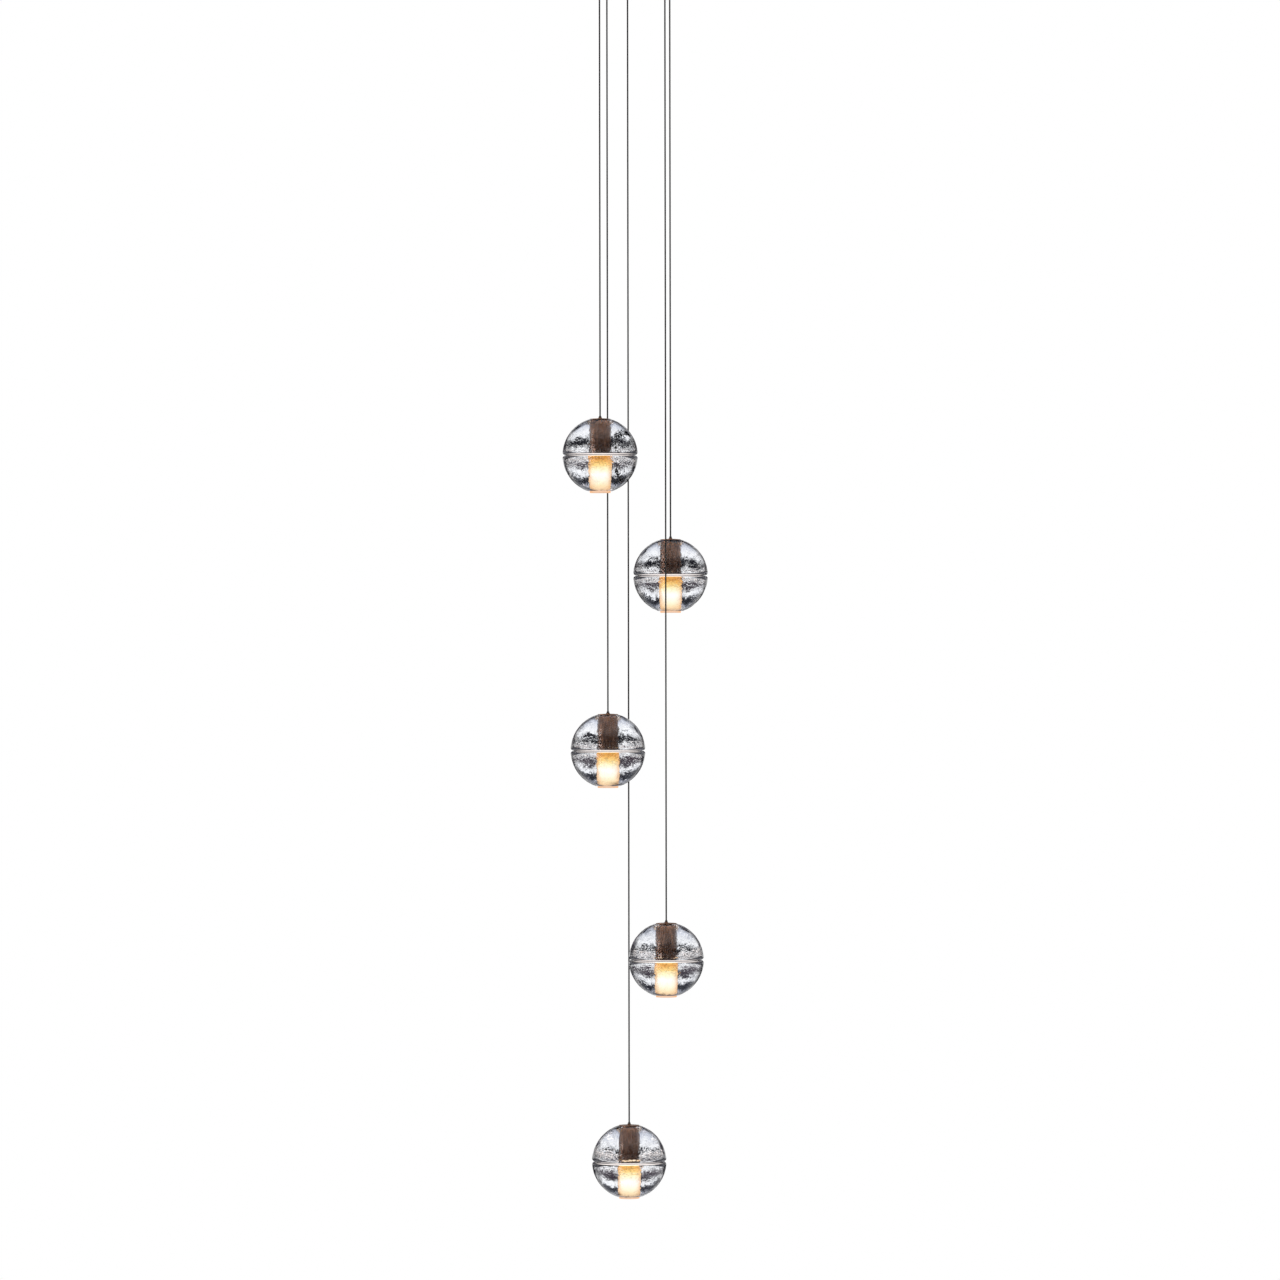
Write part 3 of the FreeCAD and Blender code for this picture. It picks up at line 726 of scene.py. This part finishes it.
class Recipe(Bench):
    """A Geometry Nodes tree with named inputs, whose result becomes a plain mesh."""

    def __init__(self, name: str, inputs: dict[str, float | tuple]) -> None:
        """Makes the tree with its sockets.

        Args:
            name: the recipe's name.
            inputs: its sizes and places, with their first values.
        """
        super().__init__(bpy.data.node_groups.new(name, "GeometryNodeTree"))
        add_socket = self.tree.interface.new_socket
        add_socket("Geometry", in_out="INPUT", socket_type="NodeSocketGeometry")
        add_socket("Finish", in_out="INPUT", socket_type="NodeSocketMaterial")
        add_socket("Geometry", in_out="OUTPUT", socket_type="NodeSocketGeometry")
        for label, value in inputs.items():
            kind = "NodeSocketVector" if isinstance(value, tuple) else "NodeSocketFloat"
            add_socket(label, in_out="INPUT", socket_type=kind).default_value = value
        self.entry = self.node("NodeGroupInput")

    def given(self, label: str) -> Term:
        """One of the tree's inputs."""
        return Term(self, self.entry.outputs[label])

    def share(self, name: str) -> Term:
        """A number kept at each vertex."""
        return self.add("GeometryNodeInputNamedAttribute", {"Name": name}, data_type="FLOAT")

    def rough(self, size: Term, detail: float) -> Term:
        """Noise from 0 to 1 at each vertex, by the Seed input, with a size of grain and finer layers."""
        inputs = {"W": self.given("Seed"), "Scale": 1.0 / size, "Detail": detail}
        return self.add("ShaderNodeTexNoise", inputs, noise_dimensions="4D")

    def moved(self, geometry: Term) -> Term:
        """The geometry, moved by the Place input."""
        inputs = {"Geometry": geometry, "Translation": self.given("Place")}
        return self.add("GeometryNodeTransform", inputs)

    def ended(self, geometry: Term) -> None:
        """Ends the tree: real geometry, with its finish.

        Args:
            geometry: the result.
        """
        real = self.add("GeometryNodeRealizeInstances", {0: geometry})
        inputs = {"Geometry": real, "Material": self.given("Finish")}
        self.node("NodeGroupOutput", {0: self.add("GeometryNodeSetMaterial", inputs)})

    def applied(self, piece: Object, finish: Material, sizes: dict) -> Object:
        """Runs the recipe on a piece and leaves it a plain mesh.

        Args:
            piece: the object that it starts from.
            finish: its material.
            sizes: values for the named inputs.

        Returns:
            The same object.
        """
        modifier = piece.modifiers.new(self.tree.name, "NODES")
        modifier.node_group = self.tree
        values = {"Finish": finish, **sizes}
        for item in self.tree.interface.items_tree:
            if item.in_out == "INPUT" and item.name in values:
                modifier[item.identifier] = values[item.name]
        piece.update_tag()
        bpy.context.view_layer.update()
        graph = bpy.context.evaluated_depsgraph_get()
        mesh = bpy.data.meshes.new_from_object(
            piece.evaluated_get(graph), preserve_all_data_layers=True, depsgraph=graph
        )
        piece.modifiers.clear()
        piece.data = mesh
        mesh.name = piece.name
        return piece

    def made(self, name: str, finish: Material, sizes: dict) -> Object:
        """Smooth piece that the recipe makes from nothing; see applied()."""
        piece = self.applied(placed(name, bpy.data.meshes.new(name)), finish, sizes)
        piece.data.shade_smooth()
        return piece


class CastRipple(Recipe):
    """Ripples of the casting, pressed into a glass half's inside faces, and a slow wave of its skin."""

    RIPPLE_DETAIL = 1.5
    RIPPLE_SPAN = (0.25, 0.75)

    def __init__(self) -> None:
        """Builds the tree."""
        super().__init__("cast_ripple", {
            "Ripple depth": 1.0 * MM,
            "Ripple size": 5.5 * MM,
            "Wave depth": 0.2 * MM,
            "Wave size": 16.0 * MM,
            "Seed": 1.0,
        })
        ripple = self.rough(self.given("Ripple size"), self.RIPPLE_DETAIL).ramped(*self.RIPPLE_SPAN)
        wave = self.rough(self.given("Wave size"), 0.0)
        pressed = ripple * self.share(RIPPLE_SHARE) * self.given("Ripple depth")
        waved = wave * self.share(WAVE_SHARE) * self.given("Wave depth")
        inward = {"Vector": self.add("GeometryNodeInputNormal"), "Scale": (pressed + waved) * -1.0}
        offset = self.add("ShaderNodeVectorMath", inward, operation="SCALE")
        inputs = {"Geometry": self.given("Geometry"), "Offset": offset}
        self.ended(self.add("GeometryNodeSetPosition", inputs))


class CoiledFilament(Recipe):
    """Coiled filament on a level axis, made from a spiral."""

    TURN_STEPS = 14
    WIRE_SIDES = 6

    def __init__(self) -> None:
        """Builds the tree."""
        sizes = {"Coil radius": 0.75 * MM, "Coil length": 4.6 * MM, "Wire radius": 0.11 * MM}
        super().__init__("coiled_filament", {**sizes, "Turns": 11.0, "Place": (0.0, 0.0, 0.0)})
        coil = self.add("GeometryNodeCurveSpiral", {
            "Resolution": self.TURN_STEPS,
            "Rotations": self.given("Turns"),
            "Start Radius": self.given("Coil radius"),
            "End Radius": self.given("Coil radius"),
            "Height": self.given("Coil length"),
        })
        level = self.add("GeometryNodeTransform", {
            "Geometry": coil,
            "Translation": self.add("ShaderNodeCombineXYZ", {0: self.given("Coil length") * -0.5}),
            "Rotation": (0.0, math.pi / 2, 0.0),
        })
        inputs = {"Resolution": self.WIRE_SIDES, "Radius": self.given("Wire radius")}
        wire = self.add("GeometryNodeCurvePrimitiveCircle", inputs)
        inputs = {"Curve": level, "Profile Curve": wire, "Fill Caps": True}
        self.ended(self.moved(self.add("GeometryNodeCurveToMesh", inputs)))


class RidgeRing(Recipe):
    """A ring of upright ridges round a cable grip's body, for the fingers."""

    RIDGE_SIDES = 8

    def __init__(self) -> None:
        """Builds the tree."""
        sizes = {"Ring radius": 7.0 * MM, "Ridge radius": 0.35 * MM, "Ridge height": 3.6 * MM}
        super().__init__("ridge_ring", {**sizes, "Ridges": 36.0, "Place": (0.0, 0.0, 0.0)})
        inputs = {"Resolution": self.given("Ridges"), "Radius": self.given("Ring radius")}
        ring = self.add("GeometryNodeCurvePrimitiveCircle", inputs)
        points = self.add("GeometryNodeCurveToPoints", {0: ring}, mode="EVALUATED")
        ridge = self.add("GeometryNodeMeshCylinder", {
            "Vertices": self.RIDGE_SIDES,
            "Radius": self.given("Ridge radius"),
            "Depth": self.given("Ridge height"),
        })
        inputs = {"Points": points, "Instance": ridge}
        self.ended(self.moved(self.add("GeometryNodeInstanceOnPoints", inputs)))


class Workshop:
    """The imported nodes, and every finish and recipe, made once."""

    def __init__(self, nodes: dict[str, Object]) -> None:
        """Makes the materials by slot, and the recipes.

        Args:
            nodes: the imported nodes, by name.
        """
        self.nodes = nodes
        finishes = (
            CastGlass(),
            FrostedGlow(),
            LampGlass(),
            # The globe bronze gets painted shade towards its foot.
            TurnedMetal(
                Slot.GLOBE_BRONZE, linear(114, 78, 55), linear(156, 112, 84), foot=linear(92, 64, 48),
                wear=Grain(4.0 * MM, 3.0, 0.0, (1.4, 1.4, 0.3), (0.35, 0.75)),
                ring_depth=0.01 * MM, smoothest=0.24, metallic=0.75,
            ),
            TurnedMetal(Slot.GRIP_BRONZE, linear(118, 98, 84), linear(156, 134, 116)),
            SpunPlate(Slot.CANOPY_BRONZE, linear(150, 140, 130), linear(112, 103, 95)),
            PlainMetal(Slot.ZINC_STEEL, linear(196, 200, 206), linear(158, 162, 170)),
            PlainMetal(Slot.BRASS_CRIMP, linear(214, 178, 110), linear(176, 138, 78)),
            Braid(),
            Moulded(Slot.BLACK_RUBBER, linear(44, 40, 38), linear(62, 56, 52), smoothest=0.54),
            Moulded(Slot.WHITE_CERAMIC, linear(236, 232, 224), linear(216, 210, 200)),
            Moulded(Slot.TRANSFORMER_CASE, linear(226, 226, 222), linear(208, 208, 204)),
            Moulded(Slot.TERMINAL_PLASTIC, linear(240, 239, 234), linear(226, 225, 219), smoothest=0.26),
        )
        self.finish = {finish.slot: finish.material() for finish in finishes}
        self.filament = Filament().material()
        self.ripple = CastRipple()
        self.coil = CoiledFilament()
        self.ridges = RidgeRing()


class Assembly:
    """What the sub-assemblies share: how their pieces are made, dressed and attached."""

    shop: Workshop
    body: str
    centre: Iterable[float]

    def linked(self, name: str, mesh: Mesh, sharp: float = 35.0) -> Object:
        """Object of a mesh, smooth but for its sharp edges.

        Args:
            name: its name.
            mesh: its mesh.
            sharp: angle in degrees beyond which an edge is sharp.

        Returns:
            The object.
        """
        mesh.shade_smooth()
        mesh.set_sharp_from_angle(angle=math.radians(sharp))
        return placed(name, mesh)

    def lathe(self, name: str, outline: Outline, centre: Vector, sides: int) -> Object:
        """Closed solid of revolution about an upright axis.

        Args:
            name: the piece's name.
            outline: its closed outline; the first and last point may be the same.
            centre: where the outline's zero stands.
            sides: points round the axis.

        Returns:
            The piece, with its ripple and wave shares as attributes.
        """
        rows = outline.points
        if math.dist(rows[0][:2], rows[-1][:2]) < TOUCH:
            rows = rows[:-1]
        angles = np.arange(sides) * 2 * math.pi / sides
        vertices, shares, rings, faces = [], [], [], []
        for radius, height, *share in rows:
            first = len(vertices)
            count = 1 if radius < TOUCH else sides
            for angle in angles[:count]:
                vertices.append((radius * math.cos(angle), radius * math.sin(angle), height))
                shares.append(share)
            rings.append([first + index % count for index in range(sides)])
        for ring, after in zip(rings, rings[1:] + rings[:1]):
            for index in range(sides):
                follow = (index + 1) % sides
                face = list(dict.fromkeys((ring[index], ring[follow], after[follow], after[index])))
                if len(face) > 2:
                    faces.append(face)
        mesh = bpy.data.meshes.new(name)
        mesh.from_pydata([Vector(place) + centre for place in vertices], [], faces)
        for label, column in zip((RIPPLE_SHARE, WAVE_SHARE), zip(*shares)):
            mesh.attributes.new(label, "FLOAT", "POINT").data.foreach_set("value", column)
        shell = bmesh.new()
        shell.from_mesh(mesh)
        bmesh.ops.recalc_face_normals(shell, faces=shell.faces)
        shell.to_mesh(mesh)
        shell.free()
        return self.linked(name, mesh)

    def copied(self, name: str, node: str) -> Object:
        """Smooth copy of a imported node, its loose triangles merged and its exact normals kept.

        Args:
            name: the copy's name.
            node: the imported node's name.

        Returns:
            The copy.
        """
        mesh = self.shop.nodes[node].data.copy()
        mesh.materials.clear()
        normals = [axis for corner in mesh.corner_normals for axis in corner.vector]
        mesh.attributes.new(TRUE_NORMAL, "FLOAT_VECTOR", "CORNER").data.foreach_set("vector", normals)
        shell = bmesh.new()
        shell.from_mesh(mesh)
        bmesh.ops.remove_doubles(shell, verts=shell.verts, dist=TOUCH)
        shell.to_mesh(mesh)
        shell.free()
        piece = self.linked(name, mesh, sharp=180.0)
        normals = [tuple(corner.vector) for corner in mesh.attributes[TRUE_NORMAL].data]
        mesh.attributes.remove(mesh.attributes[TRUE_NORMAL])
        mesh.normals_split_custom_set(normals)
        return piece

    def finish(
        self, piece: Object, slot: Slot, node: str = "", body: str = "",
        centre: Iterable[float] | None = None, material: Material | None = None,
    ) -> None:
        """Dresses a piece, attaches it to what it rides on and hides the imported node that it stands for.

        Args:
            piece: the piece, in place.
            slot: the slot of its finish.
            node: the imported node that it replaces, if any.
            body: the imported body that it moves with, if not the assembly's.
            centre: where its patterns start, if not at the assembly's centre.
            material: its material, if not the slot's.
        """
        piece.data.materials.clear()
        piece.data.materials.append(material or self.shop.finish[slot])
        if piece.type == "MESH":
            places = np.empty(len(piece.data.vertices) * 3, np.float32)
            piece.data.vertices.foreach_get("co", places)
            own = places.reshape(-1, 3) - np.array(self.centre if centre is None else centre, np.float32)
            attribute = piece.data.attributes.new(OWN_SPOT, "FLOAT_VECTOR", "POINT")
            attribute.data.foreach_set("vector", own.ravel())
        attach(piece, body or self.body)
        if node:
            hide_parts(node)
        LOG.info("%s rides %s", piece.name, body or self.body)

    def dress(self, node: str, slot: Slot, name: str = "", body: str = "") -> None:
        self.finish(self.copied(name or f"dressed_{node}", node), slot, node, body)


@dataclass(frozen=True)
class GlobeSizes:
    """Sizes that all the globes share, measured from a globe's centre."""

    radius: float = 50.0 * MM
    rim_round: float = 4.0 * MM
    half_seam: float = 0.15 * MM
    recess_radius: float = 17.3 * MM
    recess_depth: float = 1.9 * MM
    top_flat_radius: float = 15.3 * MM
    mouth_round: float = 0.7 * MM
    neck_radius: float = 11.9 * MM
    neck_length: float = 3.4 * MM
    upper_bore: float = 14.7 * MM
    lower_bore: float = 15.7 * MM
    upper_ripple: float = 0.22
    lower_ripple: float = 0.05
    upper_dimples: float = 26.0 * MM
    lower_dimples: float = 34.0 * MM
    glass_step: float = 1.15 * MM
    glass_sides: int = 300
    pin_foot: float = -9.7 * MM
    pin_radius: float = 0.53 * MM
    pin_spacing: float = 4.0 * MM
    pin_top: float = 7.8 * MM
    pin_sides: int = 12
    filament_level: float = -21.0 * MM
    cable_radius: float = 1.0 * MM
    cable_foot: float = 16.5 * MM
    cable_head: float = 0.4 * MM
    cable_rounding: int = 5
    cable_steps: int = 24


@dataclass
class Pendant(Assembly):
    """One globe with its lamp, sleeve, tube and cap, hung on its straight cable."""

    shop: Workshop
    number: int
    x: float
    y: float
    drop: float
    pivot: float = -54.5 * MM
    sizes: GlobeSizes = GlobeSizes()

    def __post_init__(self) -> None:
        """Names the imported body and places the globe's centre."""
        self.body = self.named("pendant")
        self.centre = Vector((self.x, self.y, -self.drop))

    def named(self, part: str) -> str:
        """Name of one of its parts."""
        return f"{part}_{self.number}"

    def cable(self) -> None:
        """Straight cable down into the globe, its head just under the pivot, clear of the grip's bore."""
        head = self.pivot - self.sizes.cable_head
        foot = self.sizes.cable_foot - self.drop
        route = [(self.x, self.y, height) for height in (head, (head + foot) / 2, foot)]
        curve = bpy.data.curves.new(self.named("cable"), "CURVE")
        curve.dimensions = "3D"
        spline = curve.splines.new("NURBS")
        spline.points.add(len(route) - 1)
        for point, place in zip(spline.points, route):
            point.co = (*place, 1.0)
        spline.order_u = len(route)
        spline.use_endpoint_u = True
        curve.bevel_depth = self.sizes.cable_radius
        curve.bevel_resolution = self.sizes.cable_rounding
        curve.resolution_u = self.sizes.cable_steps
        curve.use_fill_caps = True
        piece = placed(self.named("cable"), curve)
        self.finish(piece, Slot.CABLE_BRAID, self.named("hanging_cable"))

    def glass_outline(self, half: Half) -> Outline:
        """Outline of a half globe: flat seam face, rounded rim, sphere, mouth, bore and seat.

        Args:
            half: which half it is.

        Returns:
            Its closed outline.
        """
        size = self.sizes
        upper = half is Half.UPPER
        bore = size.upper_bore if upper else size.lower_bore
        rim_level = size.half_seam + size.rim_round
        rim_reach = math.sqrt((size.radius - size.rim_round) ** 2 - rim_level ** 2)
        rim_angle = math.atan2(rim_level, rim_reach)
        mouth_radius = size.top_flat_radius if upper else bore + size.mouth_round
        mouth_angle = math.acos(mouth_radius / size.radius)
        top = size.radius * math.sin(mouth_angle)
        outline = Outline([(size.recess_radius, size.half_seam, 0.0, 0.0)], size.glass_step)
        outline.line((rim_reach, size.half_seam), ripple=1.0)
        outline.arc((rim_reach, rim_level), size.rim_round, -math.pi / 2, rim_angle)
        dimple_reach = size.upper_dimples if upper else size.lower_dimples
        outline.arc((0, 0), size.radius, rim_angle, mouth_angle, wave=1.0, dimple_reach=dimple_reach)
        mouth = top - size.mouth_round
        if upper:
            neck, ledge = size.neck_radius, top - size.neck_length
            outline.line((neck + size.mouth_round, top), (neck, mouth), (neck, ledge), (bore, ledge))
        else:
            outline.line((bore, mouth))
        outline.line((bore, size.recess_depth), ripple=size.upper_ripple if upper else size.lower_ripple)
        outline.line((size.recess_radius, size.recess_depth), (size.recess_radius, size.half_seam))
        return outline if upper else outline.flipped()

    def glass(self) -> None:
        """Both halves of the cast-glass globe."""
        finish = self.shop.finish[Slot.CAST_GLASS]
        for half in Half:
            node = self.named(f"{half.value}_glass")
            outline = self.glass_outline(half)
            piece = self.lathe(f"cast_{node}", outline, self.centre, self.sizes.glass_sides)
            self.shop.ripple.applied(piece, finish, {"Seed": float(self.number)})
            self.finish(piece, Slot.CAST_GLASS, node)

    def linings(self) -> None:
        """Sleeve, cap, boot, crimped stop, ceramic holder and frosted tube."""
        for part, slot in (
            ("lamp_sleeve", Slot.GLOBE_BRONZE),
            ("top_cap", Slot.GLOBE_BRONZE),
            ("cable_boot", Slot.BLACK_RUBBER),
            ("cable_stop", Slot.BRASS_CRIMP),
            ("lamp_holder", Slot.WHITE_CERAMIC),
            ("diffuser", Slot.FROSTED_GLASS),
        ):
            self.dress(self.named(part), slot)

    def lamp(self) -> None:
        """Capsule lamp: clear bulb and pressed foot, two pins and a lit filament."""
        size = self.sizes
        body = self.named("lamp")
        self.dress(body, Slot.LAMP_GLASS, self.named("capsule"), body)
        finish = self.shop.filament
        place = (self.x, self.y, size.filament_level - self.drop)
        filament = self.shop.coil.made(self.named("filament"), finish, {"Place": place})
        self.finish(filament, Slot.LAMP_GLASS, body=body, material=finish)
        shoulder = size.pin_top - size.pin_radius
        for side, label in ((-1, "left"), (1, "right")):
            outline = Outline([(0.0, size.pin_foot, 0.0, 0.0)])
            outline.line((size.pin_radius, size.pin_foot), (size.pin_radius, shoulder))
            outline.arc((0, shoulder), size.pin_radius, 0, math.pi / 2)
            middle = self.centre + Vector((side * size.pin_spacing / 2, 0, 0))
            pin = self.lathe(self.named(f"lamp_pin_{label}"), outline, middle, size.pin_sides)
            self.finish(pin, Slot.ZINC_STEEL, body=body, centre=middle)

    def build(self) -> None:
        """Builds the whole pendant below its cable."""
        self.glass()
        self.linings()
        self.lamp()


@dataclass
class Canopy(Assembly):
    """The canopy and all that is fixed to it."""

    shop: Workshop
    pendants: Iterable[Pendant]
    body: str = "canopy"
    centre: tuple = (0.0, 0.0, 0.0)
    ridge_level: float = -52.6 * MM
    finishes: tuple = (
        ("mounting_plate", Slot.ZINC_STEEL),
        ("canopy_cover", Slot.CANOPY_BRONZE),
        ("canopy_screws", Slot.CANOPY_BRONZE),
        ("cable_grips", Slot.GRIP_BRONZE),
        ("grip_nuts", Slot.ZINC_STEEL),
        ("transformer", Slot.TRANSFORMER_CASE),
        ("terminal_block", Slot.TERMINAL_PLASTIC),
        ("supply_bushing", Slot.BLACK_RUBBER),
        ("plate_screws", Slot.ZINC_STEEL),
        ("cable_tails", Slot.CABLE_BRAID),
    )

    def build(self) -> None:
        """Dresses the canopy's pieces and rings each pendant's grip with ridges."""
        for node, slot in self.finishes:
            self.dress(node, slot)
        finish = self.shop.finish[Slot.GRIP_BRONZE]
        for pendant in self.pendants:
            place = (pendant.x, pendant.y, self.ridge_level)
            ring = self.shop.ridges.made(pendant.named("grip_ridges"), finish, {"Place": place})
            self.finish(ring, Slot.GRIP_BRONZE)


@dataclass(frozen=True)
class Studio:
    """Camera at the photograph's viewing angle, pale floor, plain soft light and white surroundings.

    The horizon gives the room's tones by elevation in degrees. A lamp is its name, place, power and size.
    """

    eye: tuple = (0.00665, -8.0, -0.922)
    tilt: float = -0.0015
    sensor: float = 36.0
    view_width: float = 1.7021
    floor_level: float = -2.5
    floor_half: float = 30.0
    floor_fade: tuple = (1.2, 3.5)
    floor_tone: tuple = linear(238, 238, 238)
    floor_roughness: float = 0.9
    floor_gloss: float = 0.1
    light_level: float = 0.75
    room_level: float = 0.13
    window: tuple = (-0.94, -0.34, 0.0)
    window_edge: tuple = (0.9, 0.97)
    window_level: float = 5.0
    clutter: Grain = Grain(1 / 7)
    clutter_shift: float = 0.08
    horizon: tuple = (
        (-90, (232, 234, 240)), (-52, (130, 134, 150)), (-34, (214, 218, 228)),
        (-20, (255, 255, 255)), (-16, (250, 251, 253)), (-13, (30, 30, 36)),
        (-5.5, (26, 26, 30)), (-3.5, (255, 255, 255)), (3, (255, 255, 255)),
        (4.8, (72, 60, 70)), (11.5, (44, 38, 46)), (14.5, (255, 255, 255)),
        (19, (250, 251, 253)), (22, (40, 40, 48)), (34, (8, 8, 12)),
        (43, (150, 154, 168)), (60, (236, 239, 246)), (90, (240, 242, 248)),
    )
    lamps: tuple = (
        ("key", (-3.2, -4.2, 1.2), 90.0, 3.2),
        ("fill", (3.6, -3.4, 0.2), 45.0, 3.2),
        ("back", (0.5, 4.5, 1.4), 45.0, 3.0),
    )
    lamp_aim: tuple = (0.0, 0.0, -0.9)

    def set_camera(self) -> None:
        """Level camera, far enough away for the photograph's flat perspective."""
        data = bpy.data.cameras.new("camera")
        data.sensor_width = self.sensor
        data.lens = self.sensor * abs(self.eye[1]) / self.view_width
        camera = placed("camera", data)
        camera.location = self.eye
        level = Matrix.Rotation(math.pi / 2, 4, "X") @ Matrix.Rotation(self.tilt, 4, "Z")
        camera.rotation_euler = level.to_euler()
        bpy.context.scene.camera = camera

    def set_world(self) -> None:
        """White surroundings; gloss and glass see a room of bands, with a window at one side."""
        shader = Shader("studio", world=True)
        camera, shiny = shader.rays()
        direction = shader.add("ShaderNodeTexCoord", output="Generated")
        clutter = (shader.noise(self.clutter, direction) - 0.5) * self.clutter_shift
        rise = shader.parts(direction)[2].math("ARCSINE") * (1 / math.pi) + 0.5 + clutter
        stops = [(degrees / 180 + 0.5, tone) for degrees, tone in self.horizon]
        room = shader.add("ShaderNodeValToRGB", {0: rise}, "Color", stops=stops)
        reflected = shader.mixed(shiny, (self.light_level,) * 3 + (1.0,), room)
        inputs = {0: direction, 1: self.window}
        beside = shader.add("ShaderNodeVectorMath", inputs, "Value", operation="DOT_PRODUCT")
        window = beside.ramped(*self.window_edge) * self.window_level
        strength = (window + self.room_level) * shiny * (1.0 - camera) + 1.0
        inputs = {"Color": shader.mixed(camera, reflected, WHITE), "Strength": strength}
        bpy.context.scene.world = shader.done(shader.add("ShaderNodeBackground", inputs))

    def set_floor(self) -> None:
        """Plain pale floor, white further off, and clear from below and to gloss and glass."""
        shader = Shader("floor")
        camera, shiny = shader.rays()
        far = shader.round_axis()[0].ramped(*self.floor_fade)
        sheen = {"Roughness": self.floor_roughness, "Specular_IOR_Level": self.floor_gloss}
        pale = shader.surface(Base_Color=self.floor_tone, **sheen)
        white = shader.add("ShaderNodeEmission", {"Color": WHITE})
        seen = shader.add("ShaderNodeMixShader", {0: camera * far, 1: pale, 2: white})
        clear = shader.add("ShaderNodeBsdfTransparent")
        underside = shader.add("ShaderNodeNewGeometry", output="Backfacing")
        passed = shiny.math("MAXIMUM", underside)
        surface = shader.add("ShaderNodeMixShader", {0: passed, 1: seen, 2: clear})
        mesh = bpy.data.meshes.new("floor")
        half = self.floor_half
        corners = [(-half, -half), (half, -half), (half, half), (-half, half)]
        mesh.from_pydata([(x, y, self.floor_level) for x, y in corners], [], [(0, 1, 2, 3)])
        mesh.materials.append(shader.done(surface))
        placed("floor", mesh)

    def set_lamps(self) -> None:
        """Three large soft lamps, one at each side in front and one behind, unseen in gloss and glass."""
        for name, place, power, size in self.lamps:
            data = bpy.data.lights.new(name, "AREA")
            data.energy = power
            data.size = size
            light = placed(name, data)
            light.location = place
            aim = Vector(self.lamp_aim) - Vector(place)
            light.rotation_euler = aim.to_track_quat("-Z", "Y").to_euler()
            light.visible_glossy = False
            light.visible_transmission = False

    def build(self) -> None:
        """Sets up the whole studio."""
        self.set_camera()
        self.set_world()
        self.set_floor()
        self.set_lamps()
        bpy.context.scene.view_settings.view_transform = "Standard"


# Number, X, Y and drop of each pendant, in millimetres.
PENDANTS = (
    (1, -45.7, -42.0, 677.804),
    (2, 47.6, 34.0, 836.107),
    (3, -36.2, 12.0, 1069.204),
    (4, 40.9, -22.0, 1345.999),
    (5, -8.8, 60.0, 1620.3),
)


def main() -> None:
    """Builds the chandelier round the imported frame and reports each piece."""
    logging.basicConfig(level=logging.INFO, format="%(message)s")
    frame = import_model()
    Studio().build()
    shop = Workshop(frame["nodes"])
    pendants = [Pendant(shop, number, *(size * MM for size in place)) for number, *place in PENDANTS]
    for pendant in pendants:
        pendant.cable()
    for pendant in pendants:
        pendant.build()
    Canopy(shop, pendants).build()


if __name__ == "__main__":
    main()
